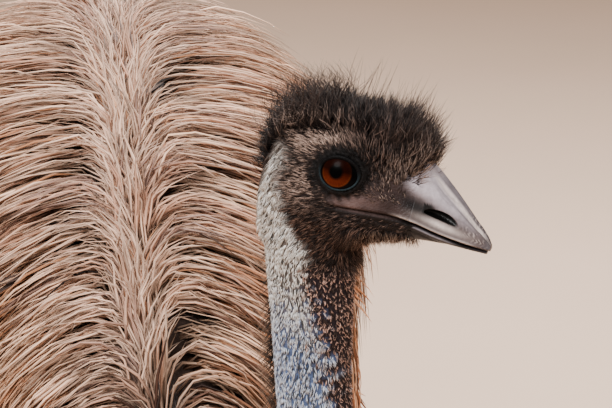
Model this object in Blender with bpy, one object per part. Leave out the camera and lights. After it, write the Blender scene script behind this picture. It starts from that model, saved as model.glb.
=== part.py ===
# Emu at life size, standing still with its neck drawn up and its head turned to its left.
# Metres. +Z is up, the body faces -Y and +X is the bird's left side. The origin is on the floor,
# below the middle of the bird's box.

import math

import bpy
import bmesh
import numpy as np
from mathutils import Matrix, Vector
from mathutils.bvhtree import BVHTree

# Fit between neighbouring pieces
GAP = 0.0003

# The trunk from the rump to the top of the neck: place of the ring's centre, half width,
# rise of the back above it, drop of the belly below it, and how far the neck is twisted to the left
TRUNK = (
    # x, y, z, half width, rise, drop, twist in degrees
    (0.000, 0.519, 0.795, 0.035, 0.035, 0.040, 0),
    (0.000, 0.472, 0.823, 0.105, 0.098, 0.108, 0),
    (0.000, 0.364, 0.858, 0.155, 0.154, 0.162, 0),
    (0.000, 0.214, 0.878, 0.178, 0.174, 0.190, 0),
    (0.000, 0.064, 0.874, 0.178, 0.162, 0.180, 0),
    (0.000, -0.071, 0.856, 0.140, 0.122, 0.140, 0),
    (0.002, -0.186, 0.832, 0.086, 0.080, 0.090, 4),
    (0.016, -0.306, 0.804, 0.052, 0.052, 0.056, 12),
    (0.046, -0.416, 0.802, 0.038, 0.038, 0.040, 24),
    (0.080, -0.501, 0.848, 0.030, 0.030, 0.031, 38),
)
HIGH_NECK = (
    # distance below the head joint, half width, twist
    (0.170, 0.0250, 50),
    (0.085, 0.0255, 60),
    (0.000, 0.0300, 66),
)
TAIL_CUT, BASE_CUT, LOW_CUT, BEND_CUT, HIGH_CUT = 1.15, 6.0, 8.0, 9.0, 10.0
RUMP_END, NECK_END = 0.0, 12.0

# Plumage depth over the skin along the trunk, at the same stations, and its hang below the belly
COAT = (0.050, 0.066, 0.062, 0.056, 0.054, 0.052, 0.040, 0.028, 0.014, 0.006, 0.004, 0.003, 0.003)
HANG = (0.090, 0.110, 0.085, 0.060, 0.050, 0.040, 0.020, 0.008, 0.002, 0.0, 0.0, 0.0, 0.0)
BELLY_COAT = 0.6

# The head: where it is, and how far it turns, dips and leans
HEAD_AT = Vector((0.125, -0.516, 1.170))
HEAD_TURN, HEAD_DIP, HEAD_LEAN = math.radians(64.5), math.radians(8), math.radians(9)
NECK_JOINT_X, NECK_JOINT_Z, NECK_TILT = -0.017, -0.062, math.radians(12)

# The head's own outline, with x towards the bill's tip and z up from the eyes
SKULL = (
    # x, top, half width, bottom
    (-0.0570, -0.004, 0.0050, -0.034),
    (-0.0530, 0.012, 0.0160, -0.058),
    (-0.0430, 0.024, 0.0250, -0.068),
    (-0.0250, 0.033, 0.0300, -0.068),
    (-0.0050, 0.0365, 0.0315, -0.060),
    (0.0120, 0.035, 0.0300, -0.048),
    (0.0280, 0.030, 0.0260, -0.041),
    (0.0420, 0.023, 0.0220, -0.0375),
    (0.0500, 0.0185, 0.0200, -0.0365),
)
BILL = (
    (0.0500, 0.0185, 0.0200, -0.0365),
    (0.0600, 0.0115, 0.0170, -0.0355),
    (0.0750, -0.0010, 0.0130, -0.0345),
    (0.0900, -0.0150, 0.0090, -0.0345),
    (0.1000, -0.0250, 0.0056, -0.0350),
    (0.1035, -0.0300, 0.0034, -0.0350),
)
MOUTH = (
    # x, z of the line between the lips
    (-0.0570, -0.0235),
    (-0.0050, -0.0222),
    (0.0320, -0.0212),
    (0.0510, -0.0232),
    (0.0680, -0.0275),
    (0.0850, -0.0308),
    (0.1035, -0.0332),
)
GAPE_X, GAPE_FADE, GROOVE_DEEP, LIP = -0.006, 0.012, 0.0028, 0.0005
SWELLS = (
    # bulges and hollows on the sides of the head: x, z, their reach along x and z, rise
    (0.002, 0.0165, 0.022, 0.006, 0.0035),
    (0.030, 0.0060, 0.014, 0.010, -0.0030),
    (0.001, 0.0000, 0.015, 0.013, -0.0010),
    (-0.024, -0.0160, 0.018, 0.014, 0.0016),
)
BILL_HOLLOW = (0.066, -0.0080, 0.016, 0.006, -0.0016)
CULMEN_RISE, CULMEN_WIDE, CULMEN_DEEP = 0.0012, 0.0035, 0.004
CROWN_FULL, CULMEN_FULL = 0.82, 1.22
BILL_TIP_FROM, BILL_TIP_NARROW = 0.8, 0.65
STUB = ((0.012, 1.0), (0.030, 0.94), (0.044, 0.70))

EYE_AT = Vector((0.0, 0.0185, 0.0))
EYE_RADIUS, EYE_BACK, EYE_FORWARD = 0.0180, -0.0060, math.radians(10)
EYE_RINGS, EYE_SIDES = 7, 16
LID_WIDE, LID_TALL, LID_THICK = 0.0133, 0.0112, 0.0024
LID_STEPS, LID_SIDES = 18, 5
UPPER_LID, LOWER_LID, LID_FLAT, LID_SINK = 1.15, 0.95, 0.8, 0.0004
EAR_AT, EAR_SIZE = Vector((-0.033, 0.029, -0.010)), Vector((0.0032, 0.0060, 0.0042))
NOSTRIL_AT, NOSTRIL_SIZE = Vector((0.0695, 0.0125, -0.0165)), Vector((0.0110, 0.0055, 0.0029))
NOSTRIL_DIP = math.radians(14)

# Legs: the joints of the left one, and how far each foot stands ahead of the hip
HIP = Vector((0.080, 0.139, 0.745))
CALF = Vector((0.088, 0.209, 0.575))
HOCK = Vector((0.092, 0.282, 0.410))
ANKLE = Vector((0.096, 0.184, 0.058))
STRIDE = {"left": -0.025, "right": 0.020}
THIGH_RADII = (
    # share of the length, half width from side to side, half width from front to back
    (0.0, 0.074, 0.088),
    (0.25, 0.070, 0.084),
    (0.5, 0.054, 0.064),
    (0.75, 0.033, 0.040),
    (1.0, 0.024, 0.029),
)
SHANK_RADII = (
    (0.0, 0.0250, 0.0300),
    (0.08, 0.0255, 0.0310),
    (0.2, 0.0185, 0.0230),
    (0.55, 0.0165, 0.0200),
    (0.85, 0.0185, 0.0195),
    (1.0, 0.0230, 0.0215),
)
HOCK_SHARE, SHANK_HOCK_SHARE = 0.7, 0.16
SCUTES, SCUTE_RISE, SCUTE_FROM, SCUTE_TO = 9, 0.0018, 0.12, 0.95
FOOT_RINGS = ((0.040, 1.08), (0.022, 1.20), (0.006, 1.16), (0.0, 1.02))
HEEL_BACK, PAD_FRONT = 0.004, 0.006
TOES = (
    # name, turn from straight ahead in degrees, length, half width at the root
    ("inner", -27, 0.088, 0.0145),
    ("middle", 0, 0.128, 0.0170),
    ("outer", 27, 0.090, 0.0145),
)
TOE_TALL, TOE_TAPER, TOE_PADS, PAD_SWELL, SOLE_SHARE = 1.6, 0.42, 3, 0.09, 0.86
CLAW_LONG, CLAW_DROP, CLAW_SHARE, CLAW_CLEAR = 0.030, 0.0055, 0.58, 0.0010
CLAW_WIDE, CLAW_TALL, CLAW_BLUNT = 0.62, 0.80, 0.10

WING_ROOT, WING_TIP = Vector((0.186, -0.021, 0.900)), Vector((0.224, 0.099, 0.722))
WING_WIDE, WING_THICK = 0.034, 0.016

# Plumage: each core holds half of the coat's depth, and flat locks over it reach the rest
CORE_SHARE = 0.5
FALL = Vector((0.34, 0.62, -1.0))
TORSO_LOCKS = {
    "seed": 7,
    "rows": (1.25, 5.75, 7), "apart": 0.094, "long": (0.225, 0.265), "wide": (0.062, 0.078),
    "thick": 0.015, "sink": 0.012, "free": -0.25, "rings": 4,
}
TAIL_LOCKS = {
    "seed": 3,
    "rows": (0.25, 1.05, 2), "apart": 0.064, "long": (0.230, 0.280), "wide": (0.048, 0.060),
    "thick": 0.014, "sink": 0.012, "free": -0.25, "rings": 4,
}
RUFF_LOCKS = {
    "seed": 7,
    "rows": (6.15, 7.75, 4), "apart": 0.082, "long": (0.105, 0.130), "wide": (0.038, 0.046),
    "thick": 0.009, "sink": 0.007, "free": -0.25, "rings": 3,
}
THIGH_LOCKS = {
    "seed": 7,
    "rows": (0.36, 0.62, 2), "count": 5, "long": (0.100, 0.120), "wide": (0.036, 0.044),
    "thick": 0.008, "sink": 0.006, "rise": 0.005, "depth": 0.014, "rings": 3,
}
CREST = {
    "seed": 7,
    "rows": (-0.042, 0.022, 3), "angles": (9, 31, 52), "long": (0.030, 0.038), "wide": (0.0095, 0.0120),
    "thick": 0.0036, "sink": 0.0020, "rise": 0.0090, "rings": 3,
}
FORELOCK = {
    "x": 0.038, "angles": (0, 24, 48), "long": (0.017, 0.021), "wide": (0.0065, 0.0080),
    "thick": 0.0030, "sink": 0.0015, "rise": 0.0110, "rings": 3,
}
STEPS_PER_RING, EMERGE, DROOP = 3, 0.6, Vector((0, 0, -0.3))
CREST_WAY = (-1.0, 0.5, -0.2)

COLOURS = {
    # base colour, roughness
    "plumage": ((0.23, 0.155, 0.105), 0.85),
    "neck_skin": ((0.42, 0.50, 0.56), 0.75),
    "face_skin": ((0.055, 0.045, 0.042), 0.75),
    "bill_horn": ((0.19, 0.18, 0.185), 0.45),
    "eye": ((0.22, 0.045, 0.012), 0.08),
    "leg_scale": ((0.115, 0.095, 0.080), 0.65),
    "claw": ((0.030, 0.027, 0.025), 0.40),
}


# Clearing and finishes
def clear_scene():
    for thing in list(bpy.data.objects):
        bpy.data.objects.remove(thing)


def finish(name):
    found = bpy.data.materials.get(name)
    if found:
        return found
    colour, roughness = COLOURS[name]
    made = bpy.data.materials.new(name)
    made.use_nodes = True
    shader = made.node_tree.nodes["Principled BSDF"]
    shader.inputs["Base Color"].default_value = (*colour, 1.0)
    shader.inputs["Roughness"].default_value = roughness
    return made


# Smooth curves through rows of sizes
def smooth(rows, u):
    table = np.asarray(rows, float)
    last = len(table) - 1
    i = int(min(max(math.floor(u), 0), last - 1))
    t = u - i
    before = table[i - 1] if i > 0 else 2 * table[i] - table[i + 1]
    after = table[i + 2] if i + 2 <= last else 2 * table[i + 1] - table[i]
    here, there = table[i], table[i + 1]
    return 0.5 * (
        2 * here
        + (there - before) * t
        + (2 * before - 5 * here + 4 * there - after) * t * t
        + (3 * here - before - 3 * there + after) * t ** 3
    )


def row_at(rows, x):
    # The row whose first value is x, on a smooth curve through the table
    firsts = [row[0] for row in rows]
    low, high = 0.0, float(len(rows) - 1)
    if x <= firsts[0]:
        return np.asarray(rows[0], float)
    if x >= firsts[-1]:
        return np.asarray(rows[-1], float)
    for _ in range(40):
        middle = (low + high) / 2
        if smooth(rows, middle)[0] < x:
            low = middle
        else:
            high = middle
    return smooth(rows, (low + high) / 2)


# Meshes from rings of points
def add_mesh(name, points, faces, colour):
    mesh = bpy.data.meshes.new(name)
    mesh.from_pydata([tuple(p) for p in points], [], faces)
    work = bmesh.new()
    work.from_mesh(mesh)
    bmesh.ops.triangulate(work, faces=work.faces)
    bmesh.ops.recalc_face_normals(work, faces=work.faces)
    if work.calc_volume(signed=True) < 0:
        bmesh.ops.reverse_faces(work, faces=work.faces)
    work.to_mesh(mesh)
    work.free()
    mesh.materials.append(finish(colour))
    thing = bpy.data.objects.new(name, mesh)
    bpy.context.scene.collection.objects.link(thing)
    return thing


def loft(name, rings, colour):
    # Skin over rings that all have the same number of points, with a fan at each end
    count = len(rings[0])
    points = [p for ring in rings for p in ring]
    faces = []
    for r in range(len(rings) - 1):
        for k in range(count):
            a, b = r * count + k, r * count + (k + 1) % count
            faces.append((a, b, b + count, a + count))
    for start in (0, (len(rings) - 1) * count):
        middle = len(points)
        points.append(sum((Vector(p) for p in points[start:start + count]), Vector()) / count)
        for k in range(count):
            faces.append((start + k, start + (k + 1) % count, middle))
    return add_mesh(name, points, faces, colour)


def ellipsoid(name, centre, size, segments, rows, turn=Matrix.Identity(3)):
    rings = []
    for r in range(1, rows):
        lie = math.pi * r / rows
        rings.append([
            centre + turn @ Vector((
                size.x * math.cos(lie),
                size.y * math.sin(lie) * math.cos(2 * math.pi * k / segments),
                size.z * math.sin(lie) * math.sin(2 * math.pi * k / segments),
            ))
            for k in range(segments)
        ])
    return loft(name, rings, "face_skin")


# Joining and cutting
def join_all(base, others, operation="UNION"):
    group = bpy.data.collections.new(base.name + "_pieces")
    bpy.context.scene.collection.children.link(group)
    for other in others:
        for owner in list(other.users_collection):
            owner.objects.unlink(other)
        group.objects.link(other)
    modifier = base.modifiers.new("joined", "BOOLEAN")
    modifier.operation = operation
    modifier.solver = "MANIFOLD"
    modifier.operand_type = "COLLECTION"
    modifier.collection = group
    bpy.context.view_layer.update()
    graph = bpy.context.evaluated_depsgraph_get()
    result = bpy.data.meshes.new_from_object(base.evaluated_get(graph))
    base.modifiers.clear()
    base.data = result
    for other in others:
        bpy.data.objects.remove(other)
    bpy.data.collections.remove(group)
    keep_largest(base)


def cut_with(base, cutters):
    for cutter in cutters:
        join_all(base, [cutter], "DIFFERENCE")


def keep_largest(thing):
    work = bmesh.new()
    work.from_mesh(thing.data)
    bmesh.ops.triangulate(work, faces=work.faces)
    left = set(work.faces)
    shells = []
    while left:
        front = [left.pop()]
        shell = set(front)
        while front:
            face = front.pop()
            for edge in face.edges:
                for other in edge.link_faces:
                    if other in left:
                        left.remove(other)
                        shell.add(other)
                        front.append(other)
        shells.append(shell)
    shells.sort(key=len, reverse=True)
    drop = [face for shell in shells[1:] for face in shell]
    if drop:
        bmesh.ops.delete(work, geom=drop, context="FACES")
    work.to_mesh(thing.data)
    work.free()


# The head's frame
def head_axes():
    turn, dip, lean = HEAD_TURN, HEAD_DIP, HEAD_LEAN
    forward = Vector((math.sin(turn) * math.cos(dip), -math.cos(turn) * math.cos(dip), -math.sin(dip)))
    level = Vector((math.cos(turn), math.sin(turn), 0.0))
    upright = forward.cross(level)
    left = level * math.cos(lean) - upright * math.sin(lean)
    up = upright * math.cos(lean) + level * math.sin(lean)
    return forward, left, up


FORWARD, LEFT, UP = head_axes()


def on_head(x, y, z):
    return HEAD_AT + FORWARD * x + LEFT * y + UP * z


def head_turn():
    return Matrix((FORWARD, LEFT, UP)).transposed()


# The trunk and neck as one tube of rings
def trunk_rows():
    down = -UP * math.cos(NECK_TILT) + FORWARD * math.sin(NECK_TILT)
    joint = on_head(NECK_JOINT_X, 0.0, NECK_JOINT_Z)
    rows = [row + (coat, hang) for row, coat, hang in zip(TRUNK, COAT, HANG)]
    for i, (below, radius, twist) in enumerate(HIGH_NECK):
        at = joint + down * below
        coat = COAT[len(TRUNK) + i]
        rows.append((at.x, at.y, at.z, radius, radius, radius, twist, coat, 0.0))
    return rows


ROWS = trunk_rows()


def ring_frame(u):
    row = smooth(ROWS, u)
    step = 0.01
    ahead = Vector(smooth(ROWS, u + step)[:3]) - Vector(smooth(ROWS, u - step)[:3])
    along = ahead.normalized()
    side = (Vector((1, 0, 0)) - along * along.x).normalized()
    back = along.cross(side)
    twist = math.radians(row[6])
    left = side * math.cos(twist) + back * math.sin(twist)
    return row, along, left, along.cross(left)


def trunk_point(frame, angle, coat, shift=0.0):
    # coat is the share of the plumage's depth that lies over the skin
    row, along, left, back = frame
    wide, rise, drop, deep, hang = row[3], row[4], row[5], row[7], row[8]
    high = rise + deep * coat if math.cos(angle) > 0 else drop + (deep * BELLY_COAT + hang) * coat
    across = left * (wide + deep * coat) * math.sin(angle)
    return Vector(row[:3]) + along * shift + across + back * high * math.cos(angle)


def trunk_ring(u, sides, coat=0.0, shift=0.0):
    frame = ring_frame(u)
    return [trunk_point(frame, 2 * math.pi * k / sides, coat, shift) for k in range(sides)]


def trunk_length(name, start, end, count, sides, colour, coat=0.0):
    rings = []
    for i in range(count + 1):
        u = start + (end - start) * i / count
        shift = 0.0
        if i == 0 and start > RUMP_END:
            shift = GAP / 2
        if i == count:
            shift = -GAP / 2
        rings.append(trunk_ring(u, sides, coat, shift))
    return loft(name, rings, colour)


# The head
def mouth_height(x):
    return row_at(MOUTH, x)[1]


def upper_arc(x, top, wide, lip, count, fullness):
    # Points from the crown's middle line to the upper lip, on the left side
    arc = []
    for k in range(count):
        turn = math.pi / 2 * k / (count - 1)
        y = wide * math.sin(turn) ** 0.92
        z = lip + (top - lip) * max(math.cos(turn), 0.0) ** fullness
        arc.append(Vector((x, y, z)))
    return arc


def lower_arc(x, bottom, wide, lip, count):
    # Points from the lower lip to the chin's middle line, on the left side
    arc = []
    for k in range(count):
        turn = math.pi / 2 * k / (count - 1)
        y = wide * max(math.cos(turn), 0.0) ** 0.8
        z = lip - (lip - bottom) * math.sin(turn) ** 1.1
        arc.append(Vector((x, y, z)))
    return arc


def whole_ring(half):
    # The left half, from the top to the bottom, and its mirror image
    other = [Vector((p.x, -p.y, p.z)) for p in half[-2:0:-1]]
    return half + other


def swell(point, form):
    # A soft bulge on the side of the head, or a hollow where rise is negative
    x, z, reach_x, reach_z, rise = form
    far = ((point.x - x) / reach_x) ** 2 + ((point.z - z) / reach_z) ** 2
    side = 1 if point.y >= 0 else -1
    share = min(abs(point.y) / 0.012, 1.0)
    point.y += side * rise * share * math.exp(-far)


def head_ring(x):
    _, top, wide, bottom = row_at(SKULL, x)
    lip = mouth_height(x)
    groove = GROOVE_DEEP * min(max((x - GAPE_X) / GAPE_FADE, 0.0), 1.0)
    half = upper_arc(x, top, wide, lip + LIP, 9, CROWN_FULL)
    half.append(Vector((x, max(wide - groove - 0.0004, 0.001), lip)))
    half += lower_arc(x, bottom, wide * 0.97, lip - LIP, 6)
    ring = whole_ring(half)
    for point in ring:
        for form in SWELLS:
            swell(point, form)
    return ring


def to_world(thing):
    place = Matrix.Translation(HEAD_AT) @ head_turn().to_4x4()
    thing.data.transform(place)
    return thing


def eye_turn(side):
    return Matrix.Rotation(-side * EYE_FORWARD, 3, "Z")


def eye_dome(name, side, grow, colour="eye"):
    # A slice of a ball, looking sideways and a little forward, with a flat back
    centre = Vector((EYE_AT.x, side * EYE_AT.y, EYE_AT.z))
    radius = EYE_RADIUS + grow
    back = EYE_BACK - grow
    widest = math.acos(back / radius)
    rings = []
    for r in range(1, EYE_RINGS + 1):
        lie = widest * r / EYE_RINGS
        ring = []
        for k in range(EYE_SIDES):
            turn = 2 * math.pi * k / EYE_SIDES
            ring.append(centre + eye_turn(side) @ Vector((
                radius * math.sin(lie) * math.cos(turn),
                side * radius * math.cos(lie),
                radius * math.sin(lie) * math.sin(turn),
            )))
        rings.append(ring)
    return to_world(loft(name, rings, colour))


def lid_ring(side):
    # The raised rim of both lids, on the eye's surface
    centre = Vector((EYE_AT.x, side * EYE_AT.y, EYE_AT.z))
    points, faces = [], []
    for k in range(LID_STEPS):
        turn = 2 * math.pi * k / LID_STEPS
        heavy = LID_THICK * (UPPER_LID if math.sin(turn) > 0 else LOWER_LID)
        out = Vector((LID_WIDE * math.cos(turn), 0.0, LID_TALL * math.sin(turn)))
        deep = math.sqrt(max(EYE_RADIUS ** 2 - out.length_squared, 0.0))
        middle = out * 1.03 + Vector((0.0, side * (deep - LID_SINK), 0.0))
        for j in range(LID_SIDES):
            roll = 2 * math.pi * j / LID_SIDES
            bead = out.normalized() * math.cos(roll) + Vector((0.0, side * LID_FLAT * math.sin(roll), 0.0))
            points.append(centre + eye_turn(side) @ (middle + bead * heavy))
            ahead, beside = (k + 1) % LID_STEPS, (j + 1) % LID_SIDES
            faces.append((
                k * LID_SIDES + j, k * LID_SIDES + beside, ahead * LID_SIDES + beside, ahead * LID_SIDES + j
            ))
    return to_world(add_mesh("lid", points, faces, "face_skin"))


def neck_stub():
    # The top of the throat, from the neck's joint up into the head
    rings = [trunk_ring(NECK_END, 24, shift=GAP / 2)]
    _, along, left, back = ring_frame(NECK_END)
    for rise, share in STUB:
        centre = Vector(ROWS[-1][:3]) + along * rise
        radius = ROWS[-1][3] * share
        rings.append([
            centre
            + left * radius * math.sin(2 * math.pi * k / 24)
            + back * radius * math.cos(2 * math.pi * k / 24)
            for k in range(24)
        ])
    return loft("stub", rings, "face_skin")


def neck_trim():
    # Clears what hangs below the plane where the neck begins
    _, along, left, back = ring_frame(NECK_END)
    middle = Vector(ROWS[-1][:3]) + along * (GAP / 2)
    wide, deep = 0.08, 0.06
    corners = [(-wide, -wide), (wide, -wide), (wide, wide), (-wide, wide)]
    rings = [
        [middle - along * far + left * a + back * b for a, b in corners]
        for far in (0.0, deep)
    ]
    return loft("trim", rings, "face_skin")


def crown_root(x, degrees, side):
    _, top, wide, _ = row_at(SKULL, x)
    turn = math.radians(degrees) * side
    return on_head(x, wide * math.sin(turn), top * math.cos(turn))


def crown_locks(tree):
    # Short locks that lie back over the crown, and a few that stand forward from the forehead
    draw = np.random.default_rng(CREST["seed"])
    locks = []
    low, high, count = CREST["rows"]
    for r in range(count):
        for a, degrees in enumerate(CREST["angles"]):
            for side in (1, -1):
                step = (high - low) / (count - 1)
                x = low + step * (r + (0.5 if a % 2 else 0.0)) + draw.uniform(-0.003, 0.003)
                root = crown_root(x, degrees + draw.uniform(-6, 6), side)
                way = FORWARD * CREST_WAY[0] + LEFT * side * CREST_WAY[1] + UP * CREST_WAY[2]
                rise = CREST["rise"] * draw.uniform(0.7, 1.0)
                locks.append(lock(tree, root, lambda at: way, rise, CREST, draw, "face_skin"))
    for degrees in FORELOCK["angles"]:
        for side in (1, -1) if degrees else (1,):
            root = crown_root(FORELOCK["x"], degrees, side)
            rise = FORELOCK["rise"] * draw.uniform(0.8, 1.0)
            locks.append(lock(tree, root, lambda at: FORWARD, rise, FORELOCK, draw, "face_skin"))
    return locks


def make_head():
    xs = np.concatenate([
        np.linspace(SKULL[0][0], -0.045, 4),
        np.linspace(-0.037, SKULL[-1][0] - 0.0045, 12),
        [SKULL[-1][0]],
    ])
    head = to_world(loft("head", [head_ring(x) for x in xs], "face_skin"))
    locks = crown_locks(surface_of(head))
    join_all(head, [neck_stub(), lid_ring(1), lid_ring(-1)] + locks)
    cutters = [neck_trim(), eye_dome("eye_room_l", 1, GAP), eye_dome("eye_room_r", -1, GAP)]
    for side in (1, -1):
        at = Vector((EAR_AT.x, side * EAR_AT.y, EAR_AT.z))
        cutters.append(to_world(ellipsoid("ear", at, EAR_SIZE, 8, 6)))
    cut_with(head, cutters)
    for side, name in ((1, "left_eye"), (-1, "right_eye")):
        eye_dome(name, side, 0.0)


def culmen(point, top):
    # The raised ridge down the middle of the bill
    if point.z > top - CULMEN_DEEP:
        point.z += CULMEN_RISE * math.exp(-((point.y / CULMEN_WIDE) ** 2))


def make_bill():
    xs = np.concatenate([
        [BILL[0][0] + GAP],
        np.linspace(0.0550, 0.0985, 9),
        [0.1015, BILL[-1][0]],
    ])
    upper, lower = [], []
    for x in xs:
        _, top, wide, bottom = row_at(BILL, x)
        lip = mouth_height(x)
        share = (x - BILL[0][0]) / (BILL[-1][0] - BILL[0][0])
        fullness = CROWN_FULL + (CULMEN_FULL - CROWN_FULL) * min(share * 3, 1.0)
        half = upper_arc(x, top, wide, lip + GAP, 8, fullness)
        for point in half:
            swell(point, BILL_HOLLOW)
            culmen(point, top)
        half.append(Vector((x, 0.0, lip + GAP)))
        upper.append(whole_ring(half))
        under = [Vector((x, 0.0, lip - GAP))]
        end = 1.0 - (1.0 - BILL_TIP_NARROW) * max(share - BILL_TIP_FROM, 0.0) / (1.0 - BILL_TIP_FROM)
        under += lower_arc(x, min(bottom, lip - 0.0012), wide * 0.95 * end, lip - GAP, 6)
        lower.append(whole_ring(under))
    bill = to_world(loft("upper_bill", upper, "bill_horn"))
    to_world(loft("lower_bill", lower[:-1], "bill_horn"))
    cutters = []
    for side in (1, -1):
        at = Vector((NOSTRIL_AT.x, side * NOSTRIL_AT.y, NOSTRIL_AT.z))
        turn = Matrix.Rotation(NOSTRIL_DIP, 3, "Y")
        cutters.append(to_world(ellipsoid("nostril", at, NOSTRIL_SIZE, 8, 6, turn)))
    cut_with(bill, cutters)


# Locks of plumage
def surface_of(thing):
    work = bmesh.new()
    work.from_mesh(thing.data)
    tree = BVHTree.FromBMesh(work)
    work.free()
    return tree


def comb(tree, root, way_at, long, rise, sizes):
    # The middle line of a lock and its sideways direction, from inside the core to its free tip
    at, out, _, _ = tree.find_nearest(root)
    points, sides = [], []
    steps = sizes["rings"] * STEPS_PER_RING
    step = long / steps
    sink = sizes["sink"]
    free = False
    for i in range(steps + 1):
        if free:
            way = (way + DROOP).normalized()
            point = point + way * step
            side = (side - way * side.dot(way)).normalized()
        else:
            way = way_at(at)
            way = (way - out * way.dot(out)).normalized()
            side = way.cross(out)
            point = at + out * ((rise + sink) * (i / steps) ** EMERGE - sink)
            at, out, _, _ = tree.find_nearest(at + way * step)
            free = i > 1 and out.z < sizes.get("free", -2.0)
        if i % STEPS_PER_RING == 0:
            points.append(point.copy())
            sides.append(side.copy())
    return points, sides


def blade(points, sides, wide, thick, colour):
    # A flat lock with a low ridge down its middle, pointed at its tip
    rings = []
    last = len(points) - 1
    for i in range(last):
        way = (points[i + 1] - points[max(i - 1, 0)]).normalized()
        side = sides[i]
        out = side.cross(way).normalized()
        size = 0.3 + 0.7 * math.sin(math.pi * (0.25 + 0.75 * i / last)) ** 0.8
        rings.append([
            points[i] - side * wide * size / 2,
            points[i] + out * thick * size,
            points[i] + side * wide * size / 2,
        ])
    corners = [p for ring in rings for p in ring] + [points[-1]]
    faces = [(2, 1, 0)]
    for r in range(len(rings) - 1):
        for k in range(3):
            a, b = r * 3 + k, r * 3 + (k + 1) % 3
            faces += [(a, b, b + 3), (a, b + 3, a + 3)]
    start, tip = (len(rings) - 1) * 3, len(corners) - 1
    faces += [(start + k, start + (k + 1) % 3, tip) for k in range(3)]
    return add_mesh("lock", corners, faces, colour)


def lock(tree, root, way_at, rise, sizes, draw, colour):
    line = comb(tree, root, way_at, draw.uniform(*sizes["long"]), rise, sizes)
    return blade(*line, draw.uniform(*sizes["wide"]), sizes["thick"], colour)


def fall_of_coat(at):
    # Plumes run towards the tail, part along the back and hang down
    return Vector((FALL.x if at.x >= 0 else -FALL.x, FALL.y, FALL.z))


def coat_locks(tree, sizes):
    draw = np.random.default_rng(sizes["seed"])
    low, high, count = sizes["rows"]
    locks = []
    for r in range(count):
        u = low + (high - low) * (r + 0.5) / count
        row = smooth(ROWS, u)
        half_girth = math.pi * (2 * row[3] + row[4] + row[5]) / 4
        across = max(round(half_girth / sizes["apart"]), 2)
        for k in range(across):
            for side in (1, -1):
                share = (k + (0.25 if r % 2 else 0.65)) / across
                here = u + draw.uniform(-0.2, 0.2) * (high - low) / count
                angle = side * math.pi * (share + draw.uniform(-0.12, 0.12) / across)
                root = trunk_point(ring_frame(here), angle, CORE_SHARE)
                rise = row[7] * (1 - CORE_SHARE) * draw.uniform(0.8, 1.0)
                locks.append(lock(tree, root, fall_of_coat, rise, sizes, draw, "plumage"))
    return locks


def past_cut(u, side, shift):
    # A block on one side of a cut across the trunk: side 1 is towards the head
    _, along, left, back = ring_frame(u)
    middle = Vector(smooth(ROWS, u)[:3]) + along * shift
    reach = 0.62
    corners = [(-reach, -reach), (reach, -reach), (reach, reach), (-reach, reach)]
    rings = [
        [middle + along * side * far + left * a + back * b for a, b in corners]
        for far in (0.0, reach)
    ]
    return loft("past", rings, "plumage")


# Neck, torso and tail
def make_trunk():
    guide = trunk_length("guide", RUMP_END, HIGH_CUT, 44, 36, "plumage", CORE_SHARE)
    tree = surface_of(guide)
    bpy.data.objects.remove(guide)

    trunk_length("neck_upper", HIGH_CUT, NECK_END, 5, 22, "neck_skin", 1.0)
    trunk_length("neck_middle", BEND_CUT, HIGH_CUT, 4, 22, "neck_skin", 1.0)

    trunk_length("neck_bend", LOW_CUT, BEND_CUT, 4, 22, "neck_skin", 1.0)

    lower = trunk_length("neck_lower", BASE_CUT, LOW_CUT, 5, 20, "plumage", CORE_SHARE)
    join_all(lower, coat_locks(tree, RUFF_LOCKS))
    cut_with(lower, [past_cut(BASE_CUT, -1, GAP / 2), past_cut(LOW_CUT, 1, -GAP / 2)])

    tail = trunk_length("tail", RUMP_END, TAIL_CUT, 4, 20, "plumage", CORE_SHARE)
    join_all(tail, coat_locks(tree, TAIL_LOCKS))
    cut_with(tail, [past_cut(TAIL_CUT, 1, -GAP / 2)])

    torso = trunk_length("torso", TAIL_CUT, BASE_CUT, 11, 20, "plumage", CORE_SHARE)
    join_all(torso, coat_locks(tree, TORSO_LOCKS))
    cutters = [past_cut(TAIL_CUT, -1, GAP / 2), past_cut(BASE_CUT, 1, -GAP / 2)]
    cutters += [thigh(side + "_room", side, GAP) for side in ("left", "right")]
    cutters += [wing(side + "_wing_room", side, GAP) for side in ("left", "right")]
    cut_with(torso, cutters)


def thigh_locks(thing, side):
    # Locks round the thigh, below the body's plumage
    tree = surface_of(thing)
    sizes = THIGH_LOCKS
    draw = np.random.default_rng(sizes["seed"])
    low, high, count = sizes["rows"]
    way = mirrored((HOCK - HIP).normalized(), side)
    points = [mirrored(p, side) for p in (HIP, CALF, HOCK)]
    locks = []
    for r in range(count):
        share = low + (high - low) * (r + 0.5) / count
        _, wide, long = row_at(THIGH_RADII, share)
        centre = Vector(smooth(points, 2 * share))
        for k in range(sizes["count"]):
            turn = 2 * math.pi * (k + 0.5 * (r % 2) + draw.uniform(-0.15, 0.15)) / sizes["count"]
            root = centre + Vector((wide * math.sin(turn), long * math.cos(turn), 0.0))
            locks.append(lock(tree, root, lambda at: way, sizes["rise"], sizes, draw, "plumage"))
    return locks


# Legs
def mirrored(point, side):
    return Vector((point.x if side == "left" else -point.x, point.y, point.z))


def ankle_at(side):
    return mirrored(ANKLE, side) + Vector((0.0, STRIDE[side], 0.0))


def bone_ring(centre, along, wide, long, sides):
    # An oval across a leg: wide from side to side, long from front to back
    across = Vector((1, 0, 0))
    front = along.cross(across).normalized()
    return [
        centre
        + across * wide * math.sin(2 * math.pi * k / sides)
        + front * long * math.cos(2 * math.pi * k / sides)
        for k in range(sides)
    ]


def hock_facing(side):
    # Square to the plane that halves the bend between thigh and shank
    hock = mirrored(HOCK, side)
    above = (hock - mirrored(CALF, side)).normalized()
    below = (ankle_at(side) - hock).normalized()
    return (above + below).normalized()


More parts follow.
